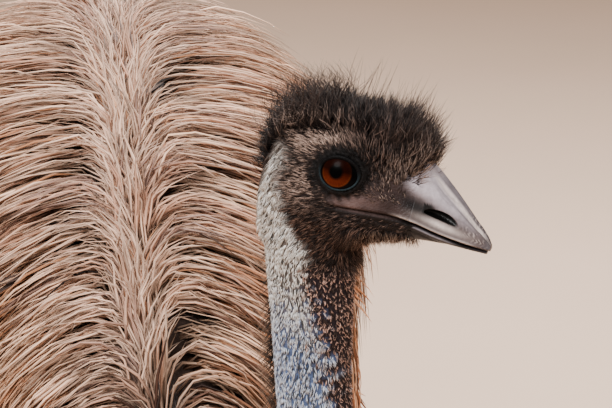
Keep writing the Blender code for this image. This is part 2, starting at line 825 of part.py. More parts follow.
def thigh(name, side, grow=0.0):
    # grow is how far its surface lies outside the feathers' reach, or inside where it is negative
    points = [mirrored(p, side) for p in (HIP, CALF, HOCK)]
    rings = []
    steps = 9
    for i in range(steps + 1):
        share = i / steps
        centre = Vector(smooth(points, 2 * share))
        along = Vector(smooth(points, 2 * share + 0.02)) - Vector(smooth(points, 2 * share - 0.02))
        along.normalize()
        _, wide, long = row_at(THIGH_RADII, share)
        turned = max(share - HOCK_SHARE, 0.0) / (1.0 - HOCK_SHARE)
        along = along.lerp(hock_facing(side), turned).normalized()
        here = grow if grow > 0 else grow * min(share / 0.2, (1.0 - share) / 0.3, 1.0)
        if i == 0:
            centre -= along * max(grow, 0.0)
        if i == steps:
            centre -= along * (GAP / 2)
        rings.append(bone_ring(centre, along, wide + here, long + here, 16))
    return loft(name, rings, "plumage")


def shank(name, side):
    top, low = mirrored(HOCK, side), ankle_at(side)
    along = (low - top).normalized()
    rings = []
    steps = SCUTES * 2
    for i in range(steps + 1):
        share = i / steps
        _, wide, long = row_at(SHANK_RADII, share)
        centre = top.lerp(low, share)
        facing = hock_facing(side).lerp(along, min(share / SHANK_HOCK_SHARE, 1.0)).normalized()
        if i == 0:
            centre += facing * (GAP / 2)
        ring = bone_ring(centre, facing, wide, long, 11)
        raised = SCUTE_RISE if i % 2 and SCUTE_FROM < share < SCUTE_TO else 0.0
        for k in (0, 1, 2, 9, 10):
            ring[k] += (ring[k] - centre).normalized() * raised
        rings.append(ring)
    return loft(name, rings, "leg_scale")


def toe_ring(centre, along, wide, tall, count=8):
    # A rounded back over a flat sole at floor level
    across = Vector((-along.y, along.x, 0.0)).normalized()
    ring = []
    for k in range(count):
        turn = 2 * math.pi * k / count
        under = math.cos(turn) < -0.6
        point = centre + across * wide * math.sin(turn) * (SOLE_SHARE if under else 1.0)
        point.z = 0.0 if under else tall * 0.5 * (1 + math.cos(turn))
        ring.append(point)
    return ring


def toe(name, root, along, length, wide):
    rings = []
    steps = 6
    for i in range(steps + 1):
        share = i / steps
        pad = 1.0 + PAD_SWELL * math.cos(share * TOE_PADS * 2 * math.pi)
        half = wide * (1.0 - TOE_TAPER * share) * pad
        rings.append(toe_ring(root + along * length * share, along, half, half * TOE_TALL))
    return loft(name, rings, "leg_scale")


def claw(name, root, along, wide):
    # Curved, ending in a blunt point a little above the floor
    rings = []
    steps = 4
    for i in range(steps + 1):
        share = i / steps
        size = max(1.0 - share ** 1.4, CLAW_BLUNT)
        centre = root + along * (GAP + CLAW_LONG * share)
        centre.z = wide + CLAW_CLEAR - CLAW_DROP * share ** 1.6
        across = Vector((-along.y, along.x, 0.0))
        rings.append([
            centre + across * wide * CLAW_WIDE * size * math.sin(2 * math.pi * k / 7)
            + Vector((0, 0, 1)) * wide * CLAW_TALL * size * math.cos(2 * math.pi * k / 7)
            for k in range(7)
        ])
    return loft(name, rings, "claw")


def foot(side):
    ankle = ankle_at(side)
    top = mirrored(HOCK, side)
    along = (ankle - top).normalized()
    _, wide, long = SHANK_RADII[-1]
    heel = Vector((ankle.x, ankle.y + HEEL_BACK, 0.0))
    rings = [bone_ring(ankle + along * GAP, along, wide, long, 12)]
    for rise, grow in FOOT_RINGS:
        centre = Vector((heel.x, heel.y - PAD_FRONT, rise))
        rings.append([
            centre + Vector((wide * grow * math.sin(2 * math.pi * k / 12),
                             -long * grow * math.cos(2 * math.pi * k / 12), 0.0))
            for k in range(12)
        ])
    made = loft(side + "_foot", rings, "leg_scale")
    toes = []
    sign = 1 if side == "left" else -1
    for name, turn, length, half in TOES:
        angle = math.radians(turn * sign)
        way = Vector((math.sin(angle), -math.cos(angle), 0.0))
        toes.append(toe(f"{side}_{name}_toe", heel, way, length, half))
        claw(f"{side}_{name}_claw", heel + way * length, way, half * CLAW_SHARE)
    join_all(made, toes)


def wing(name, side, grow=0.0):
    # A small flat wing that lies along the flank
    root, tip = mirrored(WING_ROOT, side), mirrored(WING_TIP, side)
    along = (tip - root).normalized()
    out = mirrored(Vector((1, 0, 0)), side)
    out = (out - along * out.dot(along)).normalized()
    across = along.cross(out)
    rings = []
    steps = 6
    for i in range(steps + 1):
        share = i / steps
        size = math.sin(math.pi * (0.10 + 0.85 * share)) ** 0.7
        centre = root.lerp(tip, share)
        rings.append([
            centre
            + across * (WING_WIDE * size + grow) * math.sin(2 * math.pi * k / 10)
            + out * (WING_THICK * size + grow) * math.cos(2 * math.pi * k / 10)
            for k in range(10)
        ])
    rings[0] = [p - along * grow for p in rings[0]]
    rings[-1] = [p + along * grow for p in rings[-1]]
    return loft(name, rings, "plumage")


def main():
    clear_scene()
    make_head()
    make_bill()
    make_trunk()
    for side in ("left", "right"):
        upper = thigh(side + "_thigh", side, -THIGH_LOCKS["depth"])
        join_all(upper, thigh_locks(upper, side))
        shank(side + "_shank", side)
        foot(side)
        wing(side + "_wing", side)


main()
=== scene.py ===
# The looks of a life-size emu: one skin, bill, eyes, lids, scutes and claws, with the whole coat as mesh

import math

import bpy
import bmesh
import numpy as np
from mathutils import Matrix, Vector
from mathutils.bvhtree import BVHTree


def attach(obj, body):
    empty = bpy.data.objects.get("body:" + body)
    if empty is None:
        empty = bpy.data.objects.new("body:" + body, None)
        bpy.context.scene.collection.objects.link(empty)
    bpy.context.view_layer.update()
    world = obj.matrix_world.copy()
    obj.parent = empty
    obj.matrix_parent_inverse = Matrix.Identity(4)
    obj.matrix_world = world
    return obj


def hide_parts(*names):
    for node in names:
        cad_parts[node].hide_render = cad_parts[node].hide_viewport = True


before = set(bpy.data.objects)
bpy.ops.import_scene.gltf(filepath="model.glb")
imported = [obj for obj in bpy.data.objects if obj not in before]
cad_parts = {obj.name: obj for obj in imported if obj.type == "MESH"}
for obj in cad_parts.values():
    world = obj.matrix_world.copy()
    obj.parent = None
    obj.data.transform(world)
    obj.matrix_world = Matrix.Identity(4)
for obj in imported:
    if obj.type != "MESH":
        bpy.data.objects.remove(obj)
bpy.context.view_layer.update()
print("emu: packed solids loaded")

# Where the head is and how it turns; x runs to the bill's tip, y to the bird's left, z up
headPlace = {
    "at": (0.125, -0.516, 1.170),
    "turn": 64.5, "dip": 8.0, "lean": 9.0,
    "neckJoint": (-0.017, 0.0, -0.062), "neckTilt": 12.0,
}
# Rump to neck: x, y, z, half width, rise, drop, twist in degrees, coat's depth, its hang below
trunkForm = {
    "rows": (
        (0.000, 0.519, 0.795, 0.035, 0.035, 0.040, 0, 0.050, 0.090),
        (0.000, 0.472, 0.823, 0.105, 0.098, 0.108, 0, 0.066, 0.110),
        (0.000, 0.364, 0.858, 0.155, 0.154, 0.162, 0, 0.062, 0.085),
        (0.000, 0.214, 0.878, 0.178, 0.174, 0.190, 0, 0.056, 0.060),
        (0.000, 0.064, 0.874, 0.178, 0.162, 0.180, 0, 0.054, 0.050),
        (0.000, -0.071, 0.856, 0.140, 0.122, 0.140, 0, 0.052, 0.040),
        (0.002, -0.186, 0.832, 0.086, 0.080, 0.090, 4, 0.040, 0.020),
        (0.016, -0.306, 0.804, 0.052, 0.052, 0.056, 12, 0.028, 0.008),
        (0.046, -0.416, 0.802, 0.038, 0.038, 0.040, 24, 0.014, 0.002),
        (0.080, -0.501, 0.848, 0.030, 0.030, 0.031, 38, 0.006, 0.0),
    ),
    # distance below the head's joint, radius, twist, coat's depth
    "highNeck": ((0.170, 0.0250, 50, 0.004), (0.085, 0.0255, 60, 0.003), (0.0, 0.0300, 66, 0.003)),
    "stub": ((0.012, 1.0), (0.030, 0.94), (0.044, 0.70)),
    "bellyCoat": 0.6, "sides": 72, "bodyRings": 84, "neckRings": 150, "bodyEnd": 6.0, "neckEnd": 12.0,
}


# Smooth steps, rows of sizes and frames along the body
def ramp(start, end, value):
    t = np.clip((np.asarray(value, float) - start) / (end - start), 0.0, 1.0)
    return t * t * (3.0 - 2.0 * t)


def unit(vectors):
    size = np.linalg.norm(vectors, axis=-1, keepdims=True)
    return vectors / np.maximum(size, 1e-9)


def smoothRows(rows, place):
    table = np.asarray(rows, float)
    place = np.atleast_1d(np.asarray(place, float))
    i = np.clip(np.floor(place).astype(int), 0, len(table) - 2)
    t = (place - i)[:, None]
    padded = np.vstack([2 * table[0] - table[1], table, 2 * table[-1] - table[-2]])
    before, here, there, after = padded[i], padded[i + 1], padded[i + 2], padded[i + 3]
    return 0.5 * (
        2 * here
        + (there - before) * t
        + (2 * before - 5 * here + 4 * there - after) * t ** 2
        + (3 * here - before - 3 * there + after) * t ** 3
    )


def rowsAt(rows, x):
    # The sizes at each x, on smooth curves through a table whose first column is x
    dense = smoothRows(rows, np.linspace(0, len(rows) - 1, 600))
    return [np.interp(x, dense[:, 0], dense[:, k]) for k in range(1, dense.shape[1])]


def headFrame():
    turn, dip, lean = (math.radians(headPlace[key]) for key in ("turn", "dip", "lean"))
    forward = Vector((math.sin(turn) * math.cos(dip), -math.cos(turn) * math.cos(dip), -math.sin(dip)))
    level = Vector((math.cos(turn), math.sin(turn), 0.0))
    upright = forward.cross(level)
    left = level * math.cos(lean) - upright * math.sin(lean)
    up = upright * math.cos(lean) + level * math.sin(lean)
    return np.array([forward, left, up])


headAxes = headFrame()
headAt = np.array(headPlace["at"])


def fromHead(points):
    return headAt + np.asarray(points) @ headAxes


def toHead(points):
    return (np.asarray(points) - headAt) @ headAxes.T


def trunkTable():
    tilt = math.radians(headPlace["neckTilt"])
    down = -headAxes[2] * math.cos(tilt) + headAxes[0] * math.sin(tilt)
    joint = fromHead(headPlace["neckJoint"])
    rows = list(trunkForm["rows"])
    for below, radius, twist, coat in trunkForm["highNeck"]:
        rows.append((*(joint + down * below), radius, radius, radius, twist, coat, 0.0))
    return np.array(rows)


trunkRows = trunkTable()


def trunkFrame(place):
    place = np.atleast_1d(np.asarray(place, float))
    row = smoothRows(trunkRows, place)
    along = unit(smoothRows(trunkRows, place + 0.01)[:, :3] - smoothRows(trunkRows, place - 0.01)[:, :3])
    side = unit(np.array([1.0, 0.0, 0.0]) - along * along[:, :1])
    back = np.cross(along, side)
    twist = np.radians(row[:, 6:7])
    left = side * np.cos(twist) + back * np.sin(twist)
    return row, along, left, np.cross(along, left)


def trunkPoints(place, angle, coat=0.0):
    # coat is the share of the plumage's depth that lies over the skin
    row, _, left, back = trunkFrame(place)
    deep = row[:, 7] * coat
    over = np.cos(angle) > 0
    under = row[:, 5] + deep * trunkForm["bellyCoat"] + row[:, 8] * coat
    high = np.where(over, row[:, 4] + deep, under)
    across = left * ((row[:, 3] + deep) * np.sin(angle))[:, None]
    return row[:, :3] + across + back * (high * np.cos(angle))[:, None]


trunkLine = np.linspace(0.0, 12.0, 481)
midLine = np.array([row[:2] for row in trunkForm["rows"]])[::-1, ::-1].T
trunkCentres = smoothRows(trunkRows, trunkLine)[:, :3]


def trunkCoords(points):
    # The nearest place along the body and the angle round it, 0 at the back's middle line
    place = np.empty(len(points))
    for start in range(0, len(points), 4000):
        part = points[start:start + 4000]
        far = ((part[:, None, :] - trunkCentres[None]) ** 2).sum(axis=2)
        place[start:start + 4000] = trunkLine[far.argmin(axis=1)]
    row, _, left, back = trunkFrame(place)
    apart = points - row[:, :3]
    return place, np.arctan2((apart * left).sum(axis=1), (apart * back).sum(axis=1))


# Colours, written as a paint chart's 0 to 255 and kept as linear light
def paint(red, green, blue):
    share = np.array([red, green, blue]) / 255.0
    return np.where(share <= 0.04045, share / 12.92, ((share + 0.055) / 1.055) ** 2.4)


palette = {
    # name: skin, hair at the root, hair at the tip, share of light hairs
    "dark": (paint(26, 20, 19), paint(22, 17, 16), paint(146, 118, 106), 0.24),
    "crown": (paint(22, 18, 18), paint(20, 17, 18), paint(100, 84, 78), 0.17),
    "tan": (paint(50, 38, 34), paint(46, 34, 31), paint(255, 220, 200), 0.74),
    "pale": (paint(86, 77, 72), paint(232, 224, 216), paint(255, 254, 250), 0.86),
    "blue": (paint(76, 92, 126), paint(160, 180, 210), paint(244, 247, 255), 0.78),
    "throat": (paint(28, 21, 19), paint(24, 18, 16), paint(146, 110, 92), 0.24),
    "fleck": (paint(31, 23, 27), paint(28, 20, 21), paint(238, 192, 172), 0.46),
    "bare": (paint(84, 66, 63), paint(50, 38, 35), paint(136, 108, 96), 0.5),
    "lore": (paint(48, 36, 34), paint(36, 28, 26), paint(176, 150, 136), 0.42),
    "rim": (paint(11, 8, 8), paint(12, 10, 10), paint(34, 28, 28), 0.2),
    "plumage": (paint(46, 34, 29), paint(60, 44, 36), paint(150, 110, 80), 0.5),
    "leg": (paint(92, 82, 76), paint(60, 46, 38), paint(120, 92, 70), 0.5),
}

bandFront = {
    # height over the eyes, and how far round from the nape the pale band of the neck reaches
    "height": (
        -0.165, -0.158, -0.149, -0.138, -0.128, -0.119, -0.109, -0.099, -0.090, -0.080, -0.070, -0.060,
        -0.052, -0.047, -0.042, -0.037, -0.031, -0.025, -0.019, -0.012, -0.005, 0.0045, 0.0104,
    ),
    "degrees": (
        140, 138, 134, 128, 121, 114, 108, 104, 100, 96, 97, 103, 99, 90, 77, 67, 60, 55, 50, 48, 49, 50, 34,
    ),
    # how far round from the nape the dark fringe reaches
    "napeHeight": (-0.200, -0.125, -0.104, -0.052, -0.032, -0.012, 0.000, 0.0104),
    "napeDegrees": (17, 14, 4, 3, 10, 24, 28, 32),
    "napeSoft": 5.0, "top": 0.013, "blueFrom": -0.080, "blueTo": -0.135,
    "fadeOut": (7.6, 8.8),
}
eyeForm = {
    "at": (0.0, 0.0185, 0.0), "radius": 0.0180, "back": -0.0060, "domeTurn": 10.0,
    "gazeForward": -2.0, "gazeUp": 7.0, "iris": 0.0107, "pupil": 0.0041,
    "lidForward": 2.2, "lidUp": 3.6, "lidWide": 0.0128, "lidTall": 0.0104,
}


def gazeAxes(side, forward, up):
    # Rows: towards the bill, out of the eye, upward
    a, b = math.radians(forward), math.radians(up)
    out = np.array([math.sin(a) * math.cos(b), side * math.cos(a) * math.cos(b), math.sin(b)])
    ahead = unit(np.array([1.0, 0.0, 0.0]) - out * out[0])
    return np.array([ahead, out, np.cross(ahead, out) * side])


def lidReach(local, side):
    # How far a point of the head lies from the eye's middle, in sizes of the lids' opening
    axes = gazeAxes(side, eyeForm["lidForward"], eyeForm["lidUp"])
    centre = np.array(eyeForm["at"]) * (1, side, 1)
    apart = (local - centre) @ axes.T
    reach = np.hypot(apart[:, 0] / eyeForm["lidWide"], apart[:, 2] / eyeForm["lidTall"])
    return np.where(apart[:, 1] > 0, reach, 9.0), apart


def blob(x, z, at, reach):
    return np.exp(-((x - at[0]) / reach[0]) ** 2 - ((z - at[1]) / reach[1]) ** 2)


def markings(points):
    # The share of each colouring at points of the bird, alike for skin and coat
    local = toHead(points)
    place, angle = trunkCoords(points)
    x, z = local[:, 0], local[:, 2]
    turn = np.degrees(np.abs(angle))
    onHead = ramp(-0.074, -0.052, z) * (place > 10.0)
    napeX = headPlace["neckJoint"][0]
    headTurn = np.degrees(np.arctan2(np.abs(local[:, 1]), -(x - napeX)))
    turn = turn + (headTurn - turn) * onHead
    shares = {name: np.zeros(len(points)) for name in palette}

    def lay(name, share):
        for other in shares:
            shares[other] *= 1.0 - share
        shares[name] += share

    lay("dark", np.ones(len(points)))
    wave = 4.0 * np.sin(z * 520.0 + 3.0 * np.sin(z * 170.0)) + 3.0 * np.sin(z * 1130.0 + 1.3)
    front = np.interp(z, bandFront["height"], bandFront["degrees"]) + wave
    patchy = np.sin(z * 230 + x * 310 + 0.8) + np.sin(x * 420 - z * 350) + np.sin(z * 640 + x * 130)
    front = front + 13.0 * patchy * ramp(-0.090, -0.140, z)
    soft = 7.0 + 5.0 * ramp(-0.050, -0.025, z) + 10.0 * ramp(-0.100, -0.150, z)
    neck = ramp(6.4, 7.6, place)
    lay("throat", ramp(60, 85, turn) * onHead * ramp(-0.024, -0.040, z))
    lay("fleck", neck * (1.0 - onHead) * ramp(-0.056, -0.075, z))
    top = rowsAt(headForm["skull"], x)[0]
    high = np.maximum(ramp(0.020, 0.032, z), ramp(0.015, 0.006, top - z))
    lay("crown", onHead * np.maximum(high, ramp(-0.036, -0.048, x) * ramp(0.004, 0.012, z)))
    lay("tan", onHead * 0.98 * blob(x, z + 0.35 * (x + 0.022), (-0.022, 0.0115), (0.017, 0.0075)))
    lay("tan", onHead * 0.92 * blob(x, z, (-0.011, 0.0185), (0.013, 0.0065)))
    lay("tan", onHead * 0.75 * blob(x, z, (-0.024, -0.012), (0.015, 0.013)))
    lay("tan", onHead * 0.50 * blob(x, z, (0.046, 0.0105), (0.009, 0.006)))
    # Painted shade: the back of the hollow before the nostril, in the eye-rim's near black
    lay("rim", onHead * 0.75 * blob(x, z, (0.0400, -0.0105), (0.010, 0.0045)))
    lay("lore", onHead * 0.55 * blob(x, z, (-0.031, 0.000), (0.008, 0.012)))
    band = ramp(front + soft, front - soft, turn)
    nape = np.interp(z, bandFront["napeHeight"], bandFront["napeDegrees"])
    nape = ramp(nape - bandFront["napeSoft"], nape + bandFront["napeSoft"], turn)
    band = band * nape * ramp(bandFront["top"], bandFront["top"] - 0.005, z)
    band = band * ramp(bandFront["fadeOut"][0], bandFront["fadeOut"][1], place)
    lay("pale", band)
    lay("blue", band * ramp(bandFront["blueFrom"], bandFront["blueTo"], z) * 0.92)
    spots = ramp(0.7, 1.5, np.sin(x * 610 + z * 420) + np.sin(z * 560 - x * 240 + 1.1))
    lay("blue", 0.85 * neck * (1 - onHead) * ramp(-0.070, -0.110, z) * spots * ramp(front + 45, front + 5, turn))
    strip = ramp(-0.0236, -0.0215, z) * ramp(-0.0095, -0.0130, z) * ramp(-0.008, 0.002, x)
    lay("bare", onHead * strip * 0.95)
    lay("lore", onHead * ramp(0.022, 0.032, x) * ramp(-0.024, -0.020, z) * ramp(0.016, 0.008, z))
    lay("bare", onHead * blob(x, z, (0.020, -0.010), (0.012, 0.008)) * 0.6)
    for side in (1, -1):
        reach, _ = lidReach(local, side)
        lay("rim", ramp(1.85, 1.35, reach + 0.12 * np.sin(x * 900 + z * 700)) * onHead)
    lay("plumage", ramp(7.4, 6.2, place))
    lay("leg", ramp(0.52, 0.44, points[:, 2]))
    return shares


def mixed(shares, column):
    return sum(share[:, None] * palette[name][column][None] for name, share in shares.items())


def lightShare(shares):
    return sum(share * palette[name][3] for name, share in shares.items())


# The bill's colours, which the bare skin before the eyes takes up
hornPaint = {
    "mid": paint(80, 68, 67), "pale": paint(214, 203, 212), "dark": paint(20, 16, 17),
    "edge": paint(212, 197, 191), "slate": paint(74, 67, 71), "low": paint(20, 16, 16),
    "brown": paint(58, 45, 42),
}


def hornColours(local):
    # Upper bill: pale lavender patch and edges, slate outside the ridge; a painted highlight along the culmen and the
    # top, painted shade in the hollow before the nostril, in the ridge's groove and along the mouth
    x, y, z = local[:, 0], np.abs(local[:, 1]), local[:, 2]
    top, wide, _ = rowsAt(headForm["skull"], x)
    lip, = rowsAt(headForm["mouth"], x)
    high = np.clip((z - lip) / np.maximum(top - lip, 1e-4), 0, 1)
    share = y / np.maximum(wide, 1e-4)
    colour = np.repeat(hornPaint["mid"][None], len(x), axis=0)

    def lay(name, amount):
        nonlocal colour
        colour = colour + (hornPaint[name] - colour) * amount[:, None]

    lay("brown", 0.85 * ramp(0.052, 0.036, x))
    # Pale lavender patch and paler top: own lavender colour with a painted highlight
    lay("pale", 0.92 * blob(x, z + 0.45 * (x - 0.056), (0.056, 0.0010), (0.014, 0.0075)))
    lay("pale", 0.45 * ramp(0.35, 0.75, high) * ramp(0.100, 0.075, x) * ramp(0.046, 0.056, x))
    atX, atZ, reachX, reachZ, _, dip = headForm["nasal"]
    atX, atZ = atX - 0.0015, atZ - 0.0026
    leaned = z - atZ + dip * (x - atX)
    pits = 1 + 0.35 * np.sin(x * 2900 + 3 * np.sin(z * 1500)) * np.sin(z * 3300 + 2 * np.sin(x * 1700))
    # Painted shade: the hollow before the nostril darkened, over a fine pitted texture
    lay("dark", np.clip(0.50 * pits, 0, 1) * np.exp(-((x - atX) / (reachX * 1.2)) ** 4 - (leaned / (reachZ * 1.3)) ** 2))
    lay("dark", 0.97 * np.exp(-((x - atX) / reachX) ** 4 - (leaned / (reachZ * 0.85)) ** 2))
    ridge = ramp(0.3, 0.6, high) * ramp(0.054, 0.066, x)
    lay("slate", 0.80 * ramp(0.40, 0.28, share) * ridge * ramp(0.055, 0.070, x))
    # Painted highlight along the culmen's shoulder, and painted shade in the ridge's groove beside it
    lay("edge", 0.85 * np.exp(-(((share - 0.42) / 0.07) ** 2)) * ridge)
    lay("dark", 0.50 * np.exp(-(((share - 0.56) / 0.05) ** 2)) * ridge)
    nostril = np.array(billForm["nostrilAt"])
    lay("edge", 0.85 * blob(x, z + 0.22 * (x - nostril[0]), (nostril[0] + 0.001, nostril[2] - 0.0052), (0.014, 0.0022)))
    lay("edge", 0.65 * np.exp(-(((z - lip - 0.0017) / 0.0009) ** 2)) * ramp(0.098, 0.085, x) * ramp(0.015, 0.035, x))
    waves = np.sin(x * 2600 + 2.2 * np.sin(z * 760) + 1.6 * np.sin(z * 1900 + x * 600) + 900 * z)
    broken = ramp(-0.3, 0.8, np.sin(x * 410 + z * 690) + np.sin(z * 1300 - x * 270))
    lay("dark", 0.40 * ramp(0.45, 1.0, waves) * ramp(0.080, 0.090, x) * broken)
    lay("edge", 0.40 * ramp(-0.45, -1.0, waves) * ramp(0.080, 0.090, x) * broken)
    lines = np.sin(share * 34.0 + 2.0 * np.sin(x * 160.0))
    lay("slate", 0.32 * ramp(0.5, 1.0, lines) * ridge)
    # Painted shade along the mouth line at the bill's lower edge
    lay("dark", ramp(0.0009, 0.0002, z - lip) * (high < 0.3))
    lay("slate", 0.75 * ramp(0.0965, 0.1020, x))
    return colour


# Finishes: nodes that more than one of them uses are groups
def add(tree, kind, sockets=None, **values):
    # sockets are the values of the node's unlinked inputs
    node = tree.nodes.new(kind)
    for name, value in values.items():
        setattr(node, name, value)
    for name, value in (sockets or {}).items():
        node.inputs[name].default_value = value
    return node


def wire(tree, *links):
    # Each link is a node and its output, then a node and its input
    for source, output, goal, socket in links:
        tree.links.new(source.outputs[output], goal.inputs[socket])


def newGroup(name, inputs, outputs):
    group = bpy.data.node_groups.new(name, "ShaderNodeTree")
    for label, kind, value in inputs:
        socket = group.interface.new_socket(label, in_out="INPUT", socket_type=kind)
        if value is not None:
            socket.default_value = value
    for label, kind in outputs:
        group.interface.new_socket(label, in_out="OUTPUT", socket_type=kind)
    return group, add(group, "NodeGroupInput"), add(group, "NodeGroupOutput")


def mottleGroup():
    # A colour, made lighter and darker by cloudy noise
    group, given, result = newGroup(
        "mottle",
        [("Vector", "NodeSocketVector", None), ("Colour", "NodeSocketColor", None),
         ("Scale", "NodeSocketFloat", 60.0), ("Low", "NodeSocketFloat", 0.8),
         ("High", "NodeSocketFloat", 1.2)],
        [("Colour", "NodeSocketColor")],
    )
    cloud = add(group, "ShaderNodeTexNoise", {"Detail": 4.0})
    spread = add(group, "ShaderNodeMapRange", {"From Min": 0.3, "From Max": 0.7})
    scaled = add(group, "ShaderNodeVectorMath", operation="SCALE")
    wire(
        group, (given, "Vector", cloud, "Vector"), (given, "Scale", cloud, "Scale"),
        (cloud, "Fac", spread, "Value"), (given, "Low", spread, "To Min"),
        (given, "High", spread, "To Max"), (given, "Colour", scaled, 0),
        (spread, "Result", scaled, "Scale"), (scaled, "Vector", result, "Colour"),
    )
    return group


def grainGroup():
    # Fine cells and creases, as a height
    group, given, result = newGroup(
        "grain",
        [("Vector", "NodeSocketVector", None), ("Cells", "NodeSocketFloat", 900.0),
         ("Creases", "NodeSocketFloat", 260.0), ("Share", "NodeSocketFloat", 0.5)],
        [("Height", "NodeSocketFloat")],
    )
    cells = add(group, "ShaderNodeTexVoronoi", feature="F1")
    creases = add(group, "ShaderNodeTexNoise", {"Detail": 6.0})
    blend = add(group, "ShaderNodeMix", data_type="FLOAT")
    wire(
        group, (given, "Vector", cells, "Vector"), (given, "Vector", creases, "Vector"),
        (given, "Cells", cells, "Scale"), (given, "Creases", creases, "Scale"), (given, "Share", blend, 0),
        (cells, "Distance", blend, 2), (creases, "Fac", blend, 3), (blend, 0, result, "Height"),
    )
    return group


def streakGroup():
    # Barbs that run along a plume or hair, from its own map: u across, v along
    group, given, result = newGroup(
        "streaks",
        [("Map", "NodeSocketVector", None), ("Colour", "NodeSocketColor", None),
         ("Across", "NodeSocketFloat", 7.0), ("Along", "NodeSocketFloat", 3.0),
         ("Low", "NodeSocketFloat", 0.7), ("High", "NodeSocketFloat", 1.25)],
        [("Colour", "NodeSocketColor"), ("Height", "NodeSocketFloat")],
    )
    stretch = add(group, "ShaderNodeVectorMath", operation="MULTIPLY")
    sizes = add(group, "ShaderNodeCombineXYZ", {"Z": 1.0})
    noise = add(group, "ShaderNodeTexNoise", {"Scale": 1.0, "Detail": 2.0})
    spread = add(group, "ShaderNodeMapRange", {"From Min": 0.32, "From Max": 0.68})
    scaled = add(group, "ShaderNodeVectorMath", operation="SCALE")
    wire(
        group, (given, "Across", sizes, "X"), (given, "Along", sizes, "Y"), (given, "Map", stretch, 0),
        (sizes, "Vector", stretch, 1), (stretch, "Vector", noise, "Vector"),
        (noise, "Fac", spread, "Value"), (given, "Low", spread, "To Min"),
        (given, "High", spread, "To Max"), (given, "Colour", scaled, 0),
        (spread, "Result", scaled, "Scale"), (scaled, "Vector", result, "Colour"),
        (noise, "Fac", result, "Height"),
    )
    return group


groups = {"mottle": mottleGroup(), "grain": grainGroup(), "streaks": streakGroup()}


def useGroup(tree, name, **values):
    node = add(tree, "ShaderNodeGroup")
    node.node_tree = groups[name]
    for label, value in values.items():
        node.inputs[label].default_value = value
    return node


def newFinish(name, roughness, **sockets):
    # A Principled shader whose unlinked sockets are set here by name
    made = bpy.data.materials.new(name)
    made.use_nodes = True
    tree = made.node_tree
    shader = tree.nodes["Principled BSDF"]
    shader.inputs["Roughness"].default_value = roughness
    for label, value in sockets.items():
        shader.inputs[label.replace("_", " ")].default_value = value
    return made, tree, shader


def addBump(tree, shader, height, distance, strength=1.0):
    bump = add(tree, "ShaderNodeBump", {"Distance": distance, "Strength": strength})
    tree.links.new(height, bump.inputs["Height"])
    wire(tree, (bump, "Normal", shader, "Normal"))


def tintedFinish(name, roughness, mottle, grain, bump, wear=(0.0, 0.0), **sockets):
    # Colour from the mesh's own tint, clouded, with a grained surface
    made, tree, shader = newFinish(name, roughness, **sockets)
    tint = add(tree, "ShaderNodeAttribute", attribute_name="tint")
    place = add(tree, "ShaderNodeTexCoord")
    clouds = useGroup(tree, "mottle", **mottle)
    fine = useGroup(tree, "mottle", Scale=mottle["Scale"] * 5, Low=0.88, High=1.12)
    cells = useGroup(tree, "grain", **grain)
    wire(
        tree, (place, "Object", clouds, "Vector"), (place, "Object", fine, "Vector"),
        (place, "Object", cells, "Vector"), (tint, "Color", clouds, "Colour"),
        (clouds, "Colour", fine, "Colour"), (fine, "Colour", shader, "Base Color"),
    )
    rough = add(tree, "ShaderNodeMapRange", {"To Min": roughness - wear[0], "To Max": roughness + wear[1]})
    smoother = add(tree, "ShaderNodeMath", operation="MULTIPLY")
    wire(
        tree, (cells, "Height", rough, "Value"), (rough, "Result", smoother, 0),
        (tint, "Alpha", smoother, 1), (smoother, "Value", shader, "Roughness"),
    )
    addBump(tree, shader, cells.outputs["Height"], bump)
    return made


def coatFinish(name, roughness, across, along, low, high, bump, **sockets):
    made, tree, shader = newFinish(name, roughness, **sockets)
    tint = add(tree, "ShaderNodeAttribute", attribute_name="tint")
    lie = add(tree, "ShaderNodeUVMap", uv_map="lie")
    barbs = useGroup(tree, "streaks", Across=across, Along=along, Low=low, High=high)
    wire(
        tree, (lie, "UV", barbs, "Map"), (tint, "Color", barbs, "Colour"),
        (barbs, "Colour", shader, "Base Color"),
    )
    addBump(tree, shader, barbs.outputs["Height"], bump, 0.6)
    return made


finishes = {
    "skin": tintedFinish(
        "skinFinish", 0.66, {"Scale": 90.0, "Low": 0.66, "High": 1.30},
        {"Cells": 750.0, "Creases": 420.0, "Share": 0.45}, 0.0008, (0.12, 0.15), Specular_IOR_Level=0.15,
    ),
    "horn": tintedFinish(
        "hornFinish", 0.36, {"Scale": 70.0, "Low": 0.80, "High": 1.16},
        {"Cells": 500.0, "Creases": 340.0, "Share": 0.75}, 0.0006, (0.06, 0.22), Specular_IOR_Level=0.32,
    ),
    "lid": tintedFinish(
        "lidFinish", 0.50, {"Scale": 300.0, "Low": 0.70, "High": 1.25},
        {"Cells": 1600.0, "Creases": 900.0, "Share": 0.5}, 0.0003, (0.10, 0.12), Specular_IOR_Level=0.07,
    ),
    "scute": tintedFinish(
        "scuteFinish", 0.58, {"Scale": 80.0, "Low": 0.70, "High": 1.22},
        {"Cells": 900.0, "Creases": 380.0, "Share": 0.7}, 0.0005, (0.14, 0.14),
    ),
    "claw": tintedFinish(
        "clawFinish", 0.42, {"Scale": 120.0, "Low": 0.7, "High": 1.4},
        {"Cells": 700.0, "Creases": 260.0, "Share": 0.9}, 0.0004, (0.14, 0.20),
    ),
    "plume": coatFinish("plumeFinish", 0.70, 3.2, 1.8, 0.50, 1.38, 0.0005, Specular_IOR_Level=0.15),
    "hair": coatFinish("hairFinish", 0.52, 4.0, 2.0, 0.75, 1.20, 0.0002, Specular_IOR_Level=0.20),
}
print("emu: finishes made")


# Meshes
def newPiece(name, points, faces, finish=None, smooth=True):
    mesh = bpy.data.meshes.new(name)
    mesh.from_pydata(np.asarray(points).tolist(), [], faces)
    if smooth:
        mesh.shade_smooth()
    if finish:
        mesh.materials.append(finishes[finish])
    made = bpy.data.objects.new(name, mesh)
    bpy.context.scene.collection.objects.link(made)
    return made


